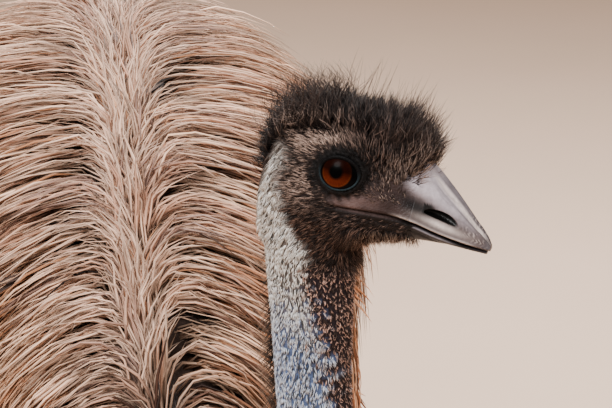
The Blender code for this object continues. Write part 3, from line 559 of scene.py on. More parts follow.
def loft(name, rings, finish=None):
    # Skin over closed rings of equal count, with a fan at each end, facing outward
    rings = np.asarray(rings, float)
    count, sides = rings.shape[:2]
    ends = [rings[0].mean(axis=0), rings[-1].mean(axis=0)]
    points = np.vstack([rings.reshape(-1, 3), ends])
    k = np.arange(sides)
    faces = []
    for r in range(count - 1):
        a, b = r * sides + k, r * sides + (k + 1) % sides
        faces += np.stack([a, b, b + sides, a + sides], axis=1).tolist()
    low, high = count * sides, count * sides + 1
    faces += np.stack([(k + 1) % sides, k, np.full(sides, low)], axis=1).tolist()
    last = (count - 1) * sides
    faces += np.stack([last + k, last + (k + 1) % sides, np.full(sides, high)], axis=1).tolist()
    tris = np.array([face[:3] for face in faces] + [face[2:] + face[:1] for face in faces if len(face) == 4])
    corner = points[tris]
    volume = (corner[:, 0] * np.cross(corner[:, 1], corner[:, 2])).sum()
    if volume < 0:
        faces = [face[::-1] for face in faces]
    return newPiece(name, points, faces, finish)


def joined(base, others, operation="UNION"):
    # One closed surface from several, then the other pieces go
    for other in others:
        step = base.modifiers.new("join", "BOOLEAN")
        step.operation = operation
        step.solver = "MANIFOLD"
        step.object = other
    bpy.context.view_layer.update()
    graph = bpy.context.evaluated_depsgraph_get()
    result = bpy.data.meshes.new_from_object(base.evaluated_get(graph))
    base.modifiers.clear()
    base.data = result
    for other in others:
        bpy.data.objects.remove(other)
    return base


def readPoints(mesh):
    points = np.empty(len(mesh.vertices) * 3)
    mesh.vertices.foreach_get("co", points)
    return points.reshape(-1, 3)


def writePoints(mesh, points):
    mesh.vertices.foreach_set("co", np.asarray(points, float).ravel())
    mesh.update()


def relax(mesh, weight, times):
    # Evens out the points that have a weight towards their neighbours
    edges = np.empty(len(mesh.edges) * 2, int)
    mesh.edges.foreach_get("vertices", edges)
    first, second = edges.reshape(-1, 2).T
    points = readPoints(mesh)
    count = len(points)
    near = np.bincount(first, minlength=count) + np.bincount(second, minlength=count)
    for _ in range(times):
        total = np.stack([
            np.bincount(first, points[second, axis], count) + np.bincount(second, points[first, axis], count)
            for axis in range(3)
        ], axis=1)
        points += (total / np.maximum(near, 1)[:, None] - points) * weight[:, None]
    writePoints(mesh, points)


def setTint(thing, colours, smoother=1.0):
    mesh = thing.data
    layer = mesh.attributes.get("tint") or mesh.attributes.new("tint", "FLOAT_COLOR", "POINT")
    whole = np.ones((len(mesh.vertices), 4), np.float32)
    whole[:, :3] = colours
    whole[:, 3] = smoother
    layer.data.foreach_set("color", whole.ravel())


def treeOf(thing):
    work = bmesh.new()
    work.from_mesh(thing.data)
    tree = BVHTree.FromBMesh(work)
    work.free()
    return tree


def settle(piece, slot, *nodes):
    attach(piece, "root")
    if nodes:
        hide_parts(*nodes)
    return piece


# The head's form
headForm = {
    "skull": (
        # x, top, half width, bottom
        (-0.0570, -0.004, 0.0050, -0.034), (-0.0530, 0.012, 0.0160, -0.058), (-0.0430, 0.024, 0.0250, -0.068),
        (-0.0250, 0.033, 0.0300, -0.068), (-0.0050, 0.0365, 0.0315, -0.060), (0.0120, 0.035, 0.0300, -0.048),
        (0.0280, 0.030, 0.0260, -0.041), (0.0420, 0.023, 0.0220, -0.0375), (0.0500, 0.0185, 0.0200, -0.0365),
        (0.0600, 0.0115, 0.0170, -0.0355), (0.0750, -0.0010, 0.0130, -0.0345),
        (0.0900, -0.0150, 0.0090, -0.0345),
        (0.1000, -0.0250, 0.0056, -0.0350), (0.1035, -0.0300, 0.0034, -0.0350),
    ),
    "mouth": (
        (-0.0570, -0.0235), (-0.0050, -0.0222), (0.0320, -0.0212), (0.0510, -0.0232),
        (0.0680, -0.0275), (0.0850, -0.0308), (0.1035, -0.0332),
    ),
    "swells": (
        # bulges and hollows of the sides: x, z, their reach along x and z, rise
        (0.002, 0.0165, 0.022, 0.006, 0.0035), (0.030, 0.0060, 0.014, 0.010, -0.0030),
        (0.001, 0.0000, 0.015, 0.013, -0.0010), (-0.024, -0.0160, 0.018, 0.014, 0.0016),
    ),
    "nasal": (0.0512, -0.0090, 0.0165, 0.0060, -0.0034, 0.30),
    "billFrom": 0.0500, "skinOn": 0.0060, "crownFull": 0.82, "culmenFull": 1.22,
    "gape": -0.0085, "grooveDeep": 0.0030, "grooveWide": 0.0009, "lipFull": 0.0007, "jawLine": 0.0052,
    "lidThick": 0.0013, "foldDeep": 0.00042, "folds": 5,
    "ear": (-0.0335, -0.0105), "earReach": (0.0042, 0.0034), "earDeep": 0.0050,
    "ringStep": 0.00075, "upperPoints": 46, "lowerPoints": 34,
}


def profile(x, upperCount, lowerCount):
    # Half rings of the head or bill: crown to lip, then lip to chin, on the left side
    x = np.atleast_1d(x)
    top, wide, bottom = rowsAt(headForm["skull"], x)
    lip, = rowsAt(headForm["mouth"], x)
    share = np.clip((x - headForm["billFrom"]) / (headForm["skull"][-1][0] - headForm["billFrom"]), 0, 1)
    full = headForm["crownFull"] + (headForm["culmenFull"] - headForm["crownFull"]) * np.minimum(share * 3, 1)
    s = np.linspace(0, 1, upperCount)
    turn = math.pi / 2 * (1 - (1 - s) ** 1.4)
    over = np.empty((len(x), upperCount, 3))
    over[:, :, 0] = x[:, None]
    over[:, :, 1] = wide[:, None] * np.sin(turn) ** 0.92
    over[:, :, 2] = lip[:, None] + (top - lip)[:, None] * np.maximum(np.cos(turn), 0) ** full[:, None]
    turn = math.pi / 2 * np.linspace(0, 1, lowerCount) ** 1.4
    under = np.empty((len(x), lowerCount, 3))
    under[:, :, 0] = x[:, None]
    under[:, :, 1] = (wide * 0.985)[:, None] * np.maximum(np.cos(turn), 0) ** 0.8
    under[:, :, 2] = lip[:, None] - (lip - bottom)[:, None] * np.sin(turn) ** 1.1
    return over, under


def sculptSides(half):
    # Bulges, the hollow before the nostril, lips and the line of the mouth, on points of the left side
    x, y, z = half[..., 0], half[..., 1], half[..., 2]
    inward = np.minimum(np.abs(y) / 0.012, 1.0)
    for atX, atZ, reachX, reachZ, rise in headForm["swells"]:
        y += rise * inward * np.exp(-((x - atX) / reachX) ** 2 - ((z - atZ) / reachZ) ** 2)
    atX, atZ, reachX, reachZ, rise, dip = headForm["nasal"]
    leaned = z - atZ + dip * (x - atX)
    y += rise * inward * np.exp(-((x - atX) / reachX) ** 2 - (leaned / reachZ) ** 2)
    lip = rowsAt(headForm["mouth"], x.ravel())[0].reshape(x.shape)
    apart = z - lip
    open_ = ramp(headForm["gape"], headForm["gape"] + 0.008, x)
    groove = headForm["grooveDeep"] * np.exp(-(apart / headForm["grooveWide"]) ** 2)
    lips = headForm["lipFull"] * (
        np.exp(-((apart - 0.0022) / 0.0011) ** 2) + 0.9 * np.exp(-((apart + 0.0024) / 0.0012) ** 2)
    )
    line = 0.0008 * np.exp(-((apart + headForm["jawLine"]) / 0.0007) ** 2) * ramp(0.012, 0.024, x)
    y -= (groove - lips + line) * open_ * np.minimum(np.abs(y) / 0.004, 1.0)


def wholeRings(half):
    other = half[:, -2:0:-1].copy()
    other[:, :, 1] *= -1
    return np.concatenate([half, other], axis=1)


def sculptEyes(points):
    # The skin lies over each eyeball round the opening, sinks behind it inside, and has fine folds about it
    for side in (1, -1):
        reach, apart = lidReach(points, side)
        axes = gazeAxes(side, eyeForm["lidForward"], eyeForm["lidUp"])
        centre = np.array(eyeForm["at"]) * (1, side, 1)
        far = np.linalg.norm(apart, axis=1)
        over = eyeForm["radius"] + headForm["lidThick"]
        behind = eyeForm["radius"] - 0.0030
        target = behind + (over - behind) * ramp(0.80, 0.98, reach)
        hold = ramp(2.05, 1.12, reach)
        fold = np.cos((reach - 1.1) * headForm["folds"] * 2 * math.pi) * ramp(1.05, 1.2, reach) * ramp(2.3, 1.7, reach)
        wanted = far + (target - far) * hold + headForm["foldDeep"] * fold * (reach < 8)
        grown = np.where(reach < 2.4, wanted, far)
        moved = centre + (apart / far[:, None] * grown[:, None]) @ axes
        chosen = reach < 2.4
        points[chosen] = moved[chosen]
    return points


def sculptEars(points):
    for side in (1, -1):
        x, y, z = points[:, 0] - headForm["ear"][0], points[:, 1] * side, points[:, 2] - headForm["ear"][1]
        far = np.hypot(x / headForm["earReach"][0], z / headForm["earReach"][1])
        far = np.where(y > 0.012, far, 9.0)
        pit = headForm["earDeep"] * ramp(0.95, 0.25, far)
        rim = 0.0003 * np.exp(-((far - 1.25) / 0.28) ** 2)
        points[:, 1] += side * (rim - pit)
    return points


def headShell():
    start, end = headForm["skull"][0][0], headForm["billFrom"] + headForm["skinOn"]
    x = np.arange(start, end, headForm["ringStep"])
    over, under = profile(x, headForm["upperPoints"], headForm["lowerPoints"])
    half = np.concatenate([over, under[:, 1:]], axis=1)
    sculptSides(half)
    tuck = 0.00010 * ramp(headForm["billFrom"] - 0.0004, headForm["billFrom"] + 0.0004, x)[:, None]
    tuck = tuck + 0.0016 * ramp(headForm["billFrom"] + 0.0008, end, x)[:, None]
    centre = half[:, :, 2].mean(axis=1, keepdims=True)
    half[:, 1:-1, 1] -= np.minimum(tuck, half[:, 1:-1, 1])
    half[:, :, 2] -= tuck * np.sign(half[:, :, 2] - centre) * ramp(0.0, 0.010, np.abs(half[:, :, 2] - centre))
    rings = wholeRings(half)
    shape = rings.shape
    flat = sculptEars(sculptEyes(rings.reshape(-1, 3)))
    return loft("headShell", fromHead(flat).reshape(shape))


# The legs, as one tube each from inside the body to the sole
legForm = {
    "hip": (0.080, 0.139, 0.745), "calf": (0.088, 0.209, 0.575),
    "hock": (0.092, 0.282, 0.410), "ankle": (0.096, 0.184, 0.058),
    "stride": {1: -0.025, -1: 0.020},
    "thigh": ((0.0, 0.074, 0.088), (0.25, 0.070, 0.084), (0.5, 0.054, 0.064), (0.75, 0.033, 0.040),
              (1.0, 0.024, 0.029)),
    "shank": ((0.0, 0.0250, 0.0300), (0.08, 0.0255, 0.0310), (0.2, 0.0185, 0.0230), (0.55, 0.0165, 0.0200),
              (0.85, 0.0185, 0.0195), (1.0, 0.0230, 0.0215)),
    "foot": ((0.040, 1.08), (0.030, 1.15), (0.022, 1.20), (0.012, 1.20), (0.006, 1.16), (0.002, 1.10), (0.0, 1.0)),
    "heelBack": 0.004, "padFront": 0.006, "coatDepth": 0.016, "sides": 48,
    "toes": (("inner", -27, 0.088, 0.0145), ("middle", 0, 0.128, 0.0170), ("outer", 27, 0.090, 0.0145)),
    "toeTall": 1.6, "toeTaper": 0.42, "toePads": 3, "padSwell": 0.09, "soleShare": 0.86, "toeRings": 40,
}


def mirroredPoint(point, side):
    return np.array(point) * (side, 1, 1)


def ankleAt(side):
    return mirroredPoint(legForm["ankle"], side) + (0.0, legForm["stride"][side], 0.0)


def heelAt(side):
    return ankleAt(side) * (1, 1, 0) + (0.0, legForm["heelBack"], 0.0)


def ovalRing(centre, along, wide, long, sides):
    across = np.array([1.0, 0.0, 0.0])
    front = unit(np.cross(along, across))
    turn = 2 * math.pi * np.arange(sides) / sides
    return centre + np.outer(wide * np.sin(turn), across) + np.outer(long * np.cos(turn), front)


def legTube(side):
    points = [mirroredPoint(legForm[key], side) for key in ("hip", "calf", "hock")]
    hock, ankle = points[-1], ankleAt(side)
    below = unit(ankle - hock)
    facing = unit(unit(hock - points[1]) + below)
    rings = []
    for share in np.linspace(0, 1, 26):
        centre = smoothRows(points, 2 * share)[0]
        along = unit(smoothRows(points, 2 * share + 0.02)[0] - smoothRows(points, 2 * share - 0.02)[0])
        wide, long = (value.item() for value in rowsAt(legForm["thigh"], np.array([share])))
        turned = max(share - 0.7, 0.0) / 0.3
        along = unit(along + (facing - along) * turned)
        less = legForm["coatDepth"] * min(share / 0.2, (1.0 - share) / 0.3, 1.0)
        rings.append(ovalRing(centre, along, wide - less, long - less, legForm["sides"]))
    for share in np.linspace(0.012, 1, 84):
        wide, long = (value.item() for value in rowsAt(legForm["shank"], np.array([share])))
        along = unit(facing + (below - facing) * min(share / 0.16, 1.0))
        rings.append(ovalRing(hock + (ankle - hock) * share, along, wide, long, legForm["sides"]))
    _, wide, long = legForm["shank"][-1]
    heel = heelAt(side)
    for rise, grow in legForm["foot"]:
        centre = heel + (0.0, -legForm["padFront"], rise)
        turn = 2 * math.pi * np.arange(legForm["sides"]) / legForm["sides"]
        ring = centre + np.stack([wide * grow * np.sin(turn), -long * grow * np.cos(turn), 0 * turn], axis=1)
        rings.append(ring)
    return loft("legTube", rings)


def toeAxis(side, degrees):
    angle = math.radians(degrees * side)
    return np.array([math.sin(angle), -math.cos(angle), 0.0])


def toeTube(side, degrees, length, wide):
    # A rounded back over a flat sole at floor level, with pads below and a blunt end
    root, way = heelAt(side), toeAxis(side, degrees)
    across = np.array([-way[1], way[0], 0.0])
    rings = []
    turn = 2 * math.pi * np.arange(28) / 28
    for share in np.linspace(0, 1, legForm["toeRings"]):
        pad = 1.0 + legForm["padSwell"] * math.cos(share * legForm["toePads"] * 2 * math.pi)
        half = wide * (1.0 - legForm["toeTaper"] * share) * pad
        half *= 1.0 - 0.32 * ramp(0.93, 1.0, share)
        tall = half * legForm["toeTall"]
        under = np.clip(-np.cos(turn), 0, 1)
        out = half * np.sin(turn) * (1 - (1 - legForm["soleShare"]) * under)
        up = np.clip(tall * 0.5 * (1 + 1.12 * np.cos(turn)), 0.0, tall)
        rings.append(root + way * length * share + np.outer(out, across) + np.outer(up, (0, 0, 1)))
    return loft("toeTube", rings)


wingForm = {
    "root": (0.174, -0.021, 0.900), "tip": (0.212, 0.099, 0.722), "wide": 0.030, "thick": 0.011,
    "shoulder": (0.150, -0.060, 0.925),
}


def wingTube(side):
    # A small flat wing, from its shoulder in the body along the flank
    root, tip = mirroredPoint(wingForm["root"], side), mirroredPoint(wingForm["tip"], side)
    shoulder = mirroredPoint(wingForm["shoulder"], side)
    along = unit(tip - root)
    out = unit(np.array([side, 0.0, 0.0]) - along * along[0] * side)
    across = np.cross(along, out)
    rings = []
    turn = 2 * math.pi * np.arange(24) / 24
    for share in np.linspace(-0.35, 1, 24):
        size = math.sin(math.pi * (0.10 + 0.85 * max(share, 0.12))) ** 0.7
        centre = root + (tip - root) * share if share >= 0 else root + (shoulder - root) * (-share / 0.35)
        wide = wingForm["wide"] * size
        rings.append(centre + np.outer(np.sin(turn), across) * wide + np.outer(np.cos(turn), out) * wingForm["thick"] * size)
    return loft("wingTube", rings)


def trunkTube():
    place = np.concatenate([
        np.linspace(0.0, trunkForm["bodyEnd"], trunkForm["bodyRings"], endpoint=False),
        np.linspace(trunkForm["bodyEnd"], trunkForm["neckEnd"], trunkForm["neckRings"]),
    ])
    sides = trunkForm["sides"]
    angle = 2 * math.pi * np.arange(sides) / sides
    rings = [trunkPoints(np.full(sides, u), angle) for u in place]
    row, along, left, back = (part[0] for part in trunkFrame(trunkForm["neckEnd"]))
    for rise, share in trunkForm["stub"]:
        centre = row[:3] + along * rise
        rings.append(
            centre + (np.outer(np.sin(angle), left) + np.outer(np.cos(angle), back)) * row[3] * share
        )
    return loft("emuSkin", rings)


def makeSkin():
    shell = headShell()
    shellTree = treeOf(shell)
    skin = trunkTube()
    neckTree = treeOf(skin)
    others = [shell] + [wingTube(side) for side in (1, -1)]
    for side in (1, -1):
        others.append(legTube(side))
        others += [toeTube(side, *toe[1:]) for toe in legForm["toes"]]
    joined(skin, others)
    points = readPoints(skin.data)
    weight = np.zeros(len(points))
    local = toHead(points)
    near = np.flatnonzero((local[:, 2] < -0.020) & (local[:, 2] > -0.095) & (np.abs(local[:, 0]) < 0.07))
    for i in near:
        at = Vector(points[i])
        apart = max(shellTree.find_nearest(at)[3], neckTree.find_nearest(at)[3])
        weight[i] = 0.6 * float(ramp(0.007, 0.001, apart))
    for side in (1, -1):
        far = np.linalg.norm(points - (heelAt(side) + (0, 0, 0.02)), axis=1)
        weight += 0.5 * ramp(0.060, 0.035, far) * ramp(0.002, 0.006, points[:, 2])
    weight += 0.5 * ramp(0.70, 0.66, points[:, 2]) * ramp(0.56, 0.60, points[:, 2])
    relax(skin.data, weight, 14)
    writePoints(skin.data, np.maximum(readPoints(skin.data), (-9, -9, 0.0)))
    skin.data.shade_smooth()
    skin.data.materials.clear()
    skin.data.materials.append(finishes["skin"])
    points = readPoints(skin.data)
    local = toHead(points)
    lip, = rowsAt(headForm["mouth"], local[:, 0])
    horny = ramp(0.034, 0.0488, local[:, 0]) * (local[:, 2] > -0.06)
    over = ramp(-0.0006, 0.0004, local[:, 2] - lip)[:, None]
    horn = hornPaint["low"] + (hornColours(local) - hornPaint["low"]) * over
    colours = mixed(markings(points), 0)
    setTint(skin, colours + (horn - colours) * horny[:, None], 1.0 - 0.40 * horny)
    return skin



# The bill
billForm = {
    "rings": 96, "upperPoints": 44, "lowerPoints": 30, "gap": 0.0003, "tip": 0.1035, "lowTip": 0.1016,
    "ridgeRise": 0.0013, "ridgeWide": 0.0032, "ridgeGroove": 0.00060, "grooveAt": 0.54,
    "nostrilAt": (0.0698, 0.0125, -0.0160), "nostrilSize": (0.0132, 0.0060, 0.0033), "nostrilDip": 14.0,
    # the last colour is the painted shade inside the nostril
    "nailFrom": 0.0925, "nailFull": 0.0005, "tipNarrow": 0.65, "tipFrom": 0.8, "holeShadow": paint(4, 3, 3),
}


def billUpper():
    x = np.linspace(headForm["billFrom"], billForm["tip"], billForm["rings"])
    over, _ = profile(x, billForm["upperPoints"], 4)
    top, wide, _ = rowsAt(headForm["skull"], x)
    lip, = rowsAt(headForm["mouth"], x)
    over[:, :, 2] += billForm["gap"] * ramp(0, 1, np.linspace(0, 1, billForm["upperPoints"]))[None]
    share = over[:, :, 1] / np.maximum(wide, 1e-4)[:, None]
    high = ramp(0.2, 0.8, (over[:, :, 2] - lip[:, None]) / np.maximum(top - lip, 1e-4)[:, None])
    sculptSides(over)
    rise = billForm["ridgeRise"] * ramp(billForm["gap"] + headForm["billFrom"], 0.062, x)[:, None]
    over[:, :, 2] += rise * np.exp(-((over[:, :, 1] / billForm["ridgeWide"]) ** 2)) * high
    groove = np.exp(-(((share - billForm["grooveAt"]) / 0.07) ** 2)) * high * ramp(0.0525, 0.072, x)[:, None]
    over[:, :, 1] -= billForm["ridgeGroove"] * groove
    over[:, :, 2] -= billForm["ridgeGroove"] * groove
    rim = np.exp(-(((over[:, :, 2] - lip[:, None] - 0.0016) / 0.0011) ** 2))
    over[:, :, 1] += 0.00035 * rim * share
    nail = billForm["nailFull"] * ramp(billForm["nailFrom"], billForm["nailFrom"] + 0.003, x)[:, None]
    over[:, :, 2] += nail * ramp(0.35, 0.9, high)
    floor = over[:, -1:].copy()
    floor[:, :, 1] = 0
    half = np.concatenate([over, (over[:, -1:] * 2 + floor) / 3, floor], axis=1)
    half[:, 0, 1] = 0
    return loft("upperBill", fromHead(wholeRings(half)), "horn")


def billLower():
    x = np.linspace(headForm["billFrom"], billForm["lowTip"], billForm["rings"])
    _, under = profile(x, 4, billForm["lowerPoints"])
    share = (x - headForm["billFrom"]) / (billForm["tip"] - headForm["billFrom"])
    narrow = 1 - (1 - billForm["tipNarrow"]) * np.maximum(share - billForm["tipFrom"], 0) / (1 - billForm["tipFrom"])
    under[:, :, 2] -= billForm["gap"]
    sculptSides(under)
    under[:, :, 1] *= 0.965 * narrow[:, None]
    start = under[:, :1].copy()
    start[:, :, 1] = 0
    half = np.concatenate([start, (start + under[:, :1] * 2) / 3, under], axis=1)
    half[:, -1, 1] = 0
    return loft("lowerBill", fromHead(wholeRings(half)), "horn")


def nostrilCutter(side):
    x, y, z = billForm["nostrilAt"]
    long, deep, tall = billForm["nostrilSize"]
    dip = math.radians(billForm["nostrilDip"])
    rings = []
    turn = 2 * math.pi * np.arange(28) / 28
    for lie in np.linspace(0.06, math.pi - 0.06, 22):
        # a teardrop: taller towards the back, with a flatter lower edge
        girth = math.sin(lie) ** 0.85
        lift = np.where(np.sin(turn) > 0, 1.15, 0.75) * tall * girth * (1.0 + 0.15 * math.cos(lie))
        local = np.stack([np.full(28, long * math.cos(lie)), deep * girth * np.cos(turn), lift * np.sin(turn)], axis=1)
        bent = local[:, 2] - 0.0016 * math.cos(lie) ** 2
        ahead = local[:, 0] * math.cos(dip) + bent * math.sin(dip)
        up = bent * math.cos(dip) - local[:, 0] * math.sin(dip)
        rings.append(fromHead(np.stack([x + ahead, side * y + local[:, 1], z + up], axis=1)))
    return loft("nostril", rings)


def tintBill(thing, upper):
    local = toHead(readPoints(thing.data))
    if upper:
        colour = hornColours(local)
        # Painted shade: the inside of the nostril darkened towards black with depth
        deep = ramp(0.0010, 0.0024, holeDepth(local))[:, None]
        colour = colour + (billForm["holeShadow"] - colour) * deep
    else:
        lip, = rowsAt(headForm["mouth"], local[:, 0])
        apart = lip - local[:, 2]
        colour = np.repeat(hornPaint["low"][None], len(local), axis=0)
        light = 0.30 * np.exp(-(((apart - 0.0019) / 0.0006) ** 2)) * ramp(0.0500, 0.0560, local[:, 0])
        light = light * ramp(0.086, 0.070, local[:, 0])
        colour = colour + (hornPaint["pale"] - colour) * light[:, None]
        colour = colour + (hornPaint["slate"] - colour) * (0.4 * ramp(0.088, 0.099, local[:, 0]))[:, None]
    setTint(thing, colour)


def holeDepth(local):
    # How far a point lies inside the bill's own outline, by its side's half width at that height
    x, y, z = local[:, 0], np.abs(local[:, 1]), local[:, 2]
    top, wide, _ = rowsAt(headForm["skull"], x)
    lip, = rowsAt(headForm["mouth"], x)
    share = np.clip((x - headForm["billFrom"]) / (headForm["skull"][-1][0] - headForm["billFrom"]), 0, 1)
    full = headForm["crownFull"] + (headForm["culmenFull"] - headForm["crownFull"]) * np.minimum(share * 3, 1)
    high = np.clip((z - lip) / np.maximum(top - lip, 1e-4), 0, 1)
    side = wide * np.sin(np.arccos(high ** (1 / full))) ** 0.92
    nostril = np.array(billForm["nostrilAt"])
    near = (np.abs(x - nostril[0]) < billForm["nostrilSize"][0]) & (np.abs(z - nostril[2]) < 0.0070)
    return np.where(near, side - y, 0.0)


skin = makeSkin()
skinTree = treeOf(skin)
print("emu: skin", len(skin.data.polygons), "faces")
upperBill = billUpper()
joined(upperBill, [nostrilCutter(side) for side in (1, -1)], "DIFFERENCE")
upperBill.data.shade_smooth()
if not upperBill.data.materials:
    upperBill.data.materials.append(finishes["horn"])
lowerBill = billLower()
tintBill(upperBill, True)
tintBill(lowerBill, False)
print("emu: bill")


# Eyes and lids
eyeLook = {
    "rings": 44, "sides": 64,
    "pupil": paint(3, 3, 4), "inner": paint(38, 13, 6), "iris": paint(76, 26, 9), "amber": paint(88, 38, 14),
    # the last number is how dark the painted shade under the upper lid leaves the eye's top
    "limbus": paint(10, 5, 5), "white": paint(6, 5, 6), "lidShade": 0.10,
}


def eyeFinish():
    made, tree, shader = newFinish(
        "eyeFinish", 0.35, Specular_IOR_Level=0.02, Coat_Weight=0.024, Coat_Roughness=0.02, Coat_IOR=1.38
    )
    gaze = add(tree, "ShaderNodeAttribute", attribute_name="gaze")
    parts = add(tree, "ShaderNodeSeparateXYZ")
    wire(tree, (gaze, "Vector", parts, "Vector"))
    length = add(tree, "ShaderNodeVectorMath", operation="LENGTH")
    flat = add(tree, "ShaderNodeCombineXYZ")
    wire(
        tree, (parts, "X", flat, "X"), (parts, "Y", flat, "Y"), (flat, "Vector", length, 0),
    )
    spoke = add(tree, "ShaderNodeMath", operation="ARCTAN2")
    wire(
        tree, (parts, "Y", spoke, 0), (parts, "X", spoke, 1),
    )
    fibreMap = add(tree, "ShaderNodeCombineXYZ")
    wide = add(tree, "ShaderNodeMath", {1: 9.0}, operation="MULTIPLY")
    wire(
        tree, (spoke, "Value", wide, 0), (wide, "Value", fibreMap, "X"), (length, "Value", fibreMap, "Y"),
    )
    fibres = add(tree, "ShaderNodeTexNoise", {"Scale": 1.6, "Detail": 4.0})
    wire(tree, (fibreMap, "Vector", fibres, "Vector"))
    rings = add(tree, "ShaderNodeValToRGB")
    share = eyeForm["pupil"] / eyeForm["iris"]
    stops = (
        (share - 0.03, "pupil"), (share + 0.02, "inner"), (share + 0.16, "iris"), (0.80, "iris"),
        (0.90, "amber"),
        (0.97, "limbus"), (1.06, "white"),
    )
    ramps = rings.color_ramp
    scale = 0.8
    for i, (at, name) in enumerate(stops):
        stop = ramps.elements[i] if i < 2 else ramps.elements.new(at * scale)
        stop.position = at * scale
        stop.color = (*eyeLook[name], 1.0)
    shift = add(tree, "ShaderNodeMath", {1: 0.07}, operation="MULTIPLY_ADD")
    wire(
        tree, (fibres, "Fac", shift, 0), (length, "Value", shift, 2),
    )
    fit = add(tree, "ShaderNodeMath", {1: scale, 2: -0.035 * scale}, operation="MULTIPLY_ADD")
    wire(
        tree, (shift, "Value", fit, 0), (fit, "Value", rings, "Fac"),
    )
    # Painted shade: the eye is darkened towards its top, as under the upper lid, and left fully lit below
    lidShade = add(
        tree, "ShaderNodeMapRange",
        {"From Min": -0.55, "From Max": 0.12, "To Min": 1.0, "To Max": eyeLook["lidShade"]},
    )
    wire(tree, (parts, "Y", lidShade, "Value"))
    lidShaded = add(tree, "ShaderNodeVectorMath", operation="SCALE")
    wire(
        tree, (rings, "Color", lidShaded, 0), (lidShade, "Result", lidShaded, "Scale"),
    )
    streak = add(
        tree, "ShaderNodeMapRange",
        {"From Min": 0.3, "From Max": 0.7, "To Min": 0.70, "To Max": 1.25},
    )
    wire(tree, (fibres, "Fac", streak, "Value"))
    fine = add(tree, "ShaderNodeVectorMath", operation="SCALE")
    wire(
        tree, (lidShaded, "Vector", fine, 0), (streak, "Result", fine, "Scale"),
        (fine, "Vector", shader, "Base Color"),
    )
    return made


def makeEye(side, name):
    # A slice of a ball with the cornea's low dome over its iris
    axes = gazeAxes(side, eyeForm["gazeForward"], eyeForm["gazeUp"])
    dome = gazeAxes(side, eyeForm["domeTurn"], 0.0)
    centre = np.array(eyeForm["at"]) * (1, side, 1)
    widest = math.acos(eyeForm["back"] / eyeForm["radius"])
    turn = 2 * math.pi * np.arange(eyeLook["sides"]) / eyeLook["sides"]
    rings = []
    for lie in np.linspace(widest, 0.004, eyeLook["rings"]):
        around = np.outer(np.cos(turn), dome[0]) + np.outer(np.sin(turn), dome[2])
        rings.append(eyeForm["radius"] * (math.cos(lie) * dome[1] + math.sin(lie) * around))
    rings = np.array(rings)
    seen = rings @ axes.T
    off = np.hypot(seen[..., 0], seen[..., 2]) / eyeForm["iris"]
    bulge = 1.0 + 0.030 * ramp(1.12, 0.3, np.where(seen[..., 1] > 0, off, 9.0))
    eye = loft(name, fromHead(centre + rings * bulge[..., None]))
    local = toHead(readPoints(eye.data)) - centre
    look = local @ axes.T / eyeForm["iris"]
    layer = eye.data.attributes.new("gaze", "FLOAT_VECTOR", "POINT")
    vector = np.stack([look[:, 0], look[:, 2], look[:, 1]], axis=1)
    vector[look[:, 1] < 0, :2] *= 9.0
    layer.data.foreach_set("vector", vector.astype(np.float32).ravel())
    eye.data.materials.append(finishes["eye"])
    return eye


finishes["eye"] = eyeFinish()
lidForm = {
    "steps": 150, "sides": 16, "upper": 0.0016, "lower": 0.00065, "flat": 0.85, "reach": 1.035,
    "creases": 46, "creaseDeep": 0.10, "dark": paint(7, 6, 7), "rim": paint(28, 38, 42),
}


def makeLids():
    # The soft rims of both lids on each eyeball, the upper one heavier and darker
    parts = []
    for side in (1, -1):
        axes = gazeAxes(side, eyeForm["lidForward"], eyeForm["lidUp"])
        centre = np.array(eyeForm["at"]) * (1, side, 1)
        turn = 2 * math.pi * np.arange(lidForm["steps"]) / lidForm["steps"]
        roll = 2 * math.pi * np.arange(lidForm["sides"]) / lidForm["sides"]
        above = ramp(-0.35, 0.45, np.sin(turn))
        heavy = lidForm["lower"] + (lidForm["upper"] - lidForm["lower"]) * above
        heavy = heavy * (1 + lidForm["creaseDeep"] * np.sin(turn * lidForm["creases"]))
        out = np.stack([
            eyeForm["lidWide"] * np.cos(turn) * lidForm["reach"], 0 * turn,
            eyeForm["lidTall"] * np.sin(turn) * lidForm["reach"],
        ], axis=1)
        out[:, 1] = np.sqrt(eyeForm["radius"] ** 2 - (out ** 2).sum(axis=1)) + 0.0003
        radial = unit(out * (1, 0, 1))
        ring = out[:, None] + heavy[:, None, None] * (
            radial[:, None] * np.cos(roll)[None, :, None]
            + np.array([0, 1.0, 0])[None, None] * lidForm["flat"] * np.sin(roll)[None, :, None]
        )
        points = centre + ring.reshape(-1, 3) @ axes
        parts.append((fromHead(points), side, np.repeat(above, lidForm["sides"])))
    count, sides = lidForm["steps"], lidForm["sides"]
    faces, allPoints, colours = [], [], []
    for n, (points, side, above) in enumerate(parts):
        for k in range(count):
            for j in range(sides):
                a, b = k * sides + j, k * sides + (j + 1) % sides
                c, d = ((k + 1) % count) * sides + (j + 1) % sides, ((k + 1) % count) * sides + j
                face = [a, b, c, d] if side > 0 else [d, c, b, a]
                faces.append([corner + n * count * sides for corner in face])
        allPoints.append(points)
        colours.append(lidForm["rim"] + (lidForm["dark"] - lidForm["rim"]) * above[:, None])
    lids = newPiece("eyelids", np.vstack(allPoints), faces, "lid")
    work = bmesh.new()
    work.from_mesh(lids.data)
    bmesh.ops.recalc_face_normals(work, faces=work.faces)
    work.to_mesh(lids.data)
    work.free()
    lids.data.shade_smooth()
    setTint(lids, np.vstack(colours))
    return lids


leftEye, rightEye = makeEye(1, "leftEye"), makeEye(-1, "rightEye")
eyelids = makeLids()
print("emu: eyes and lids")


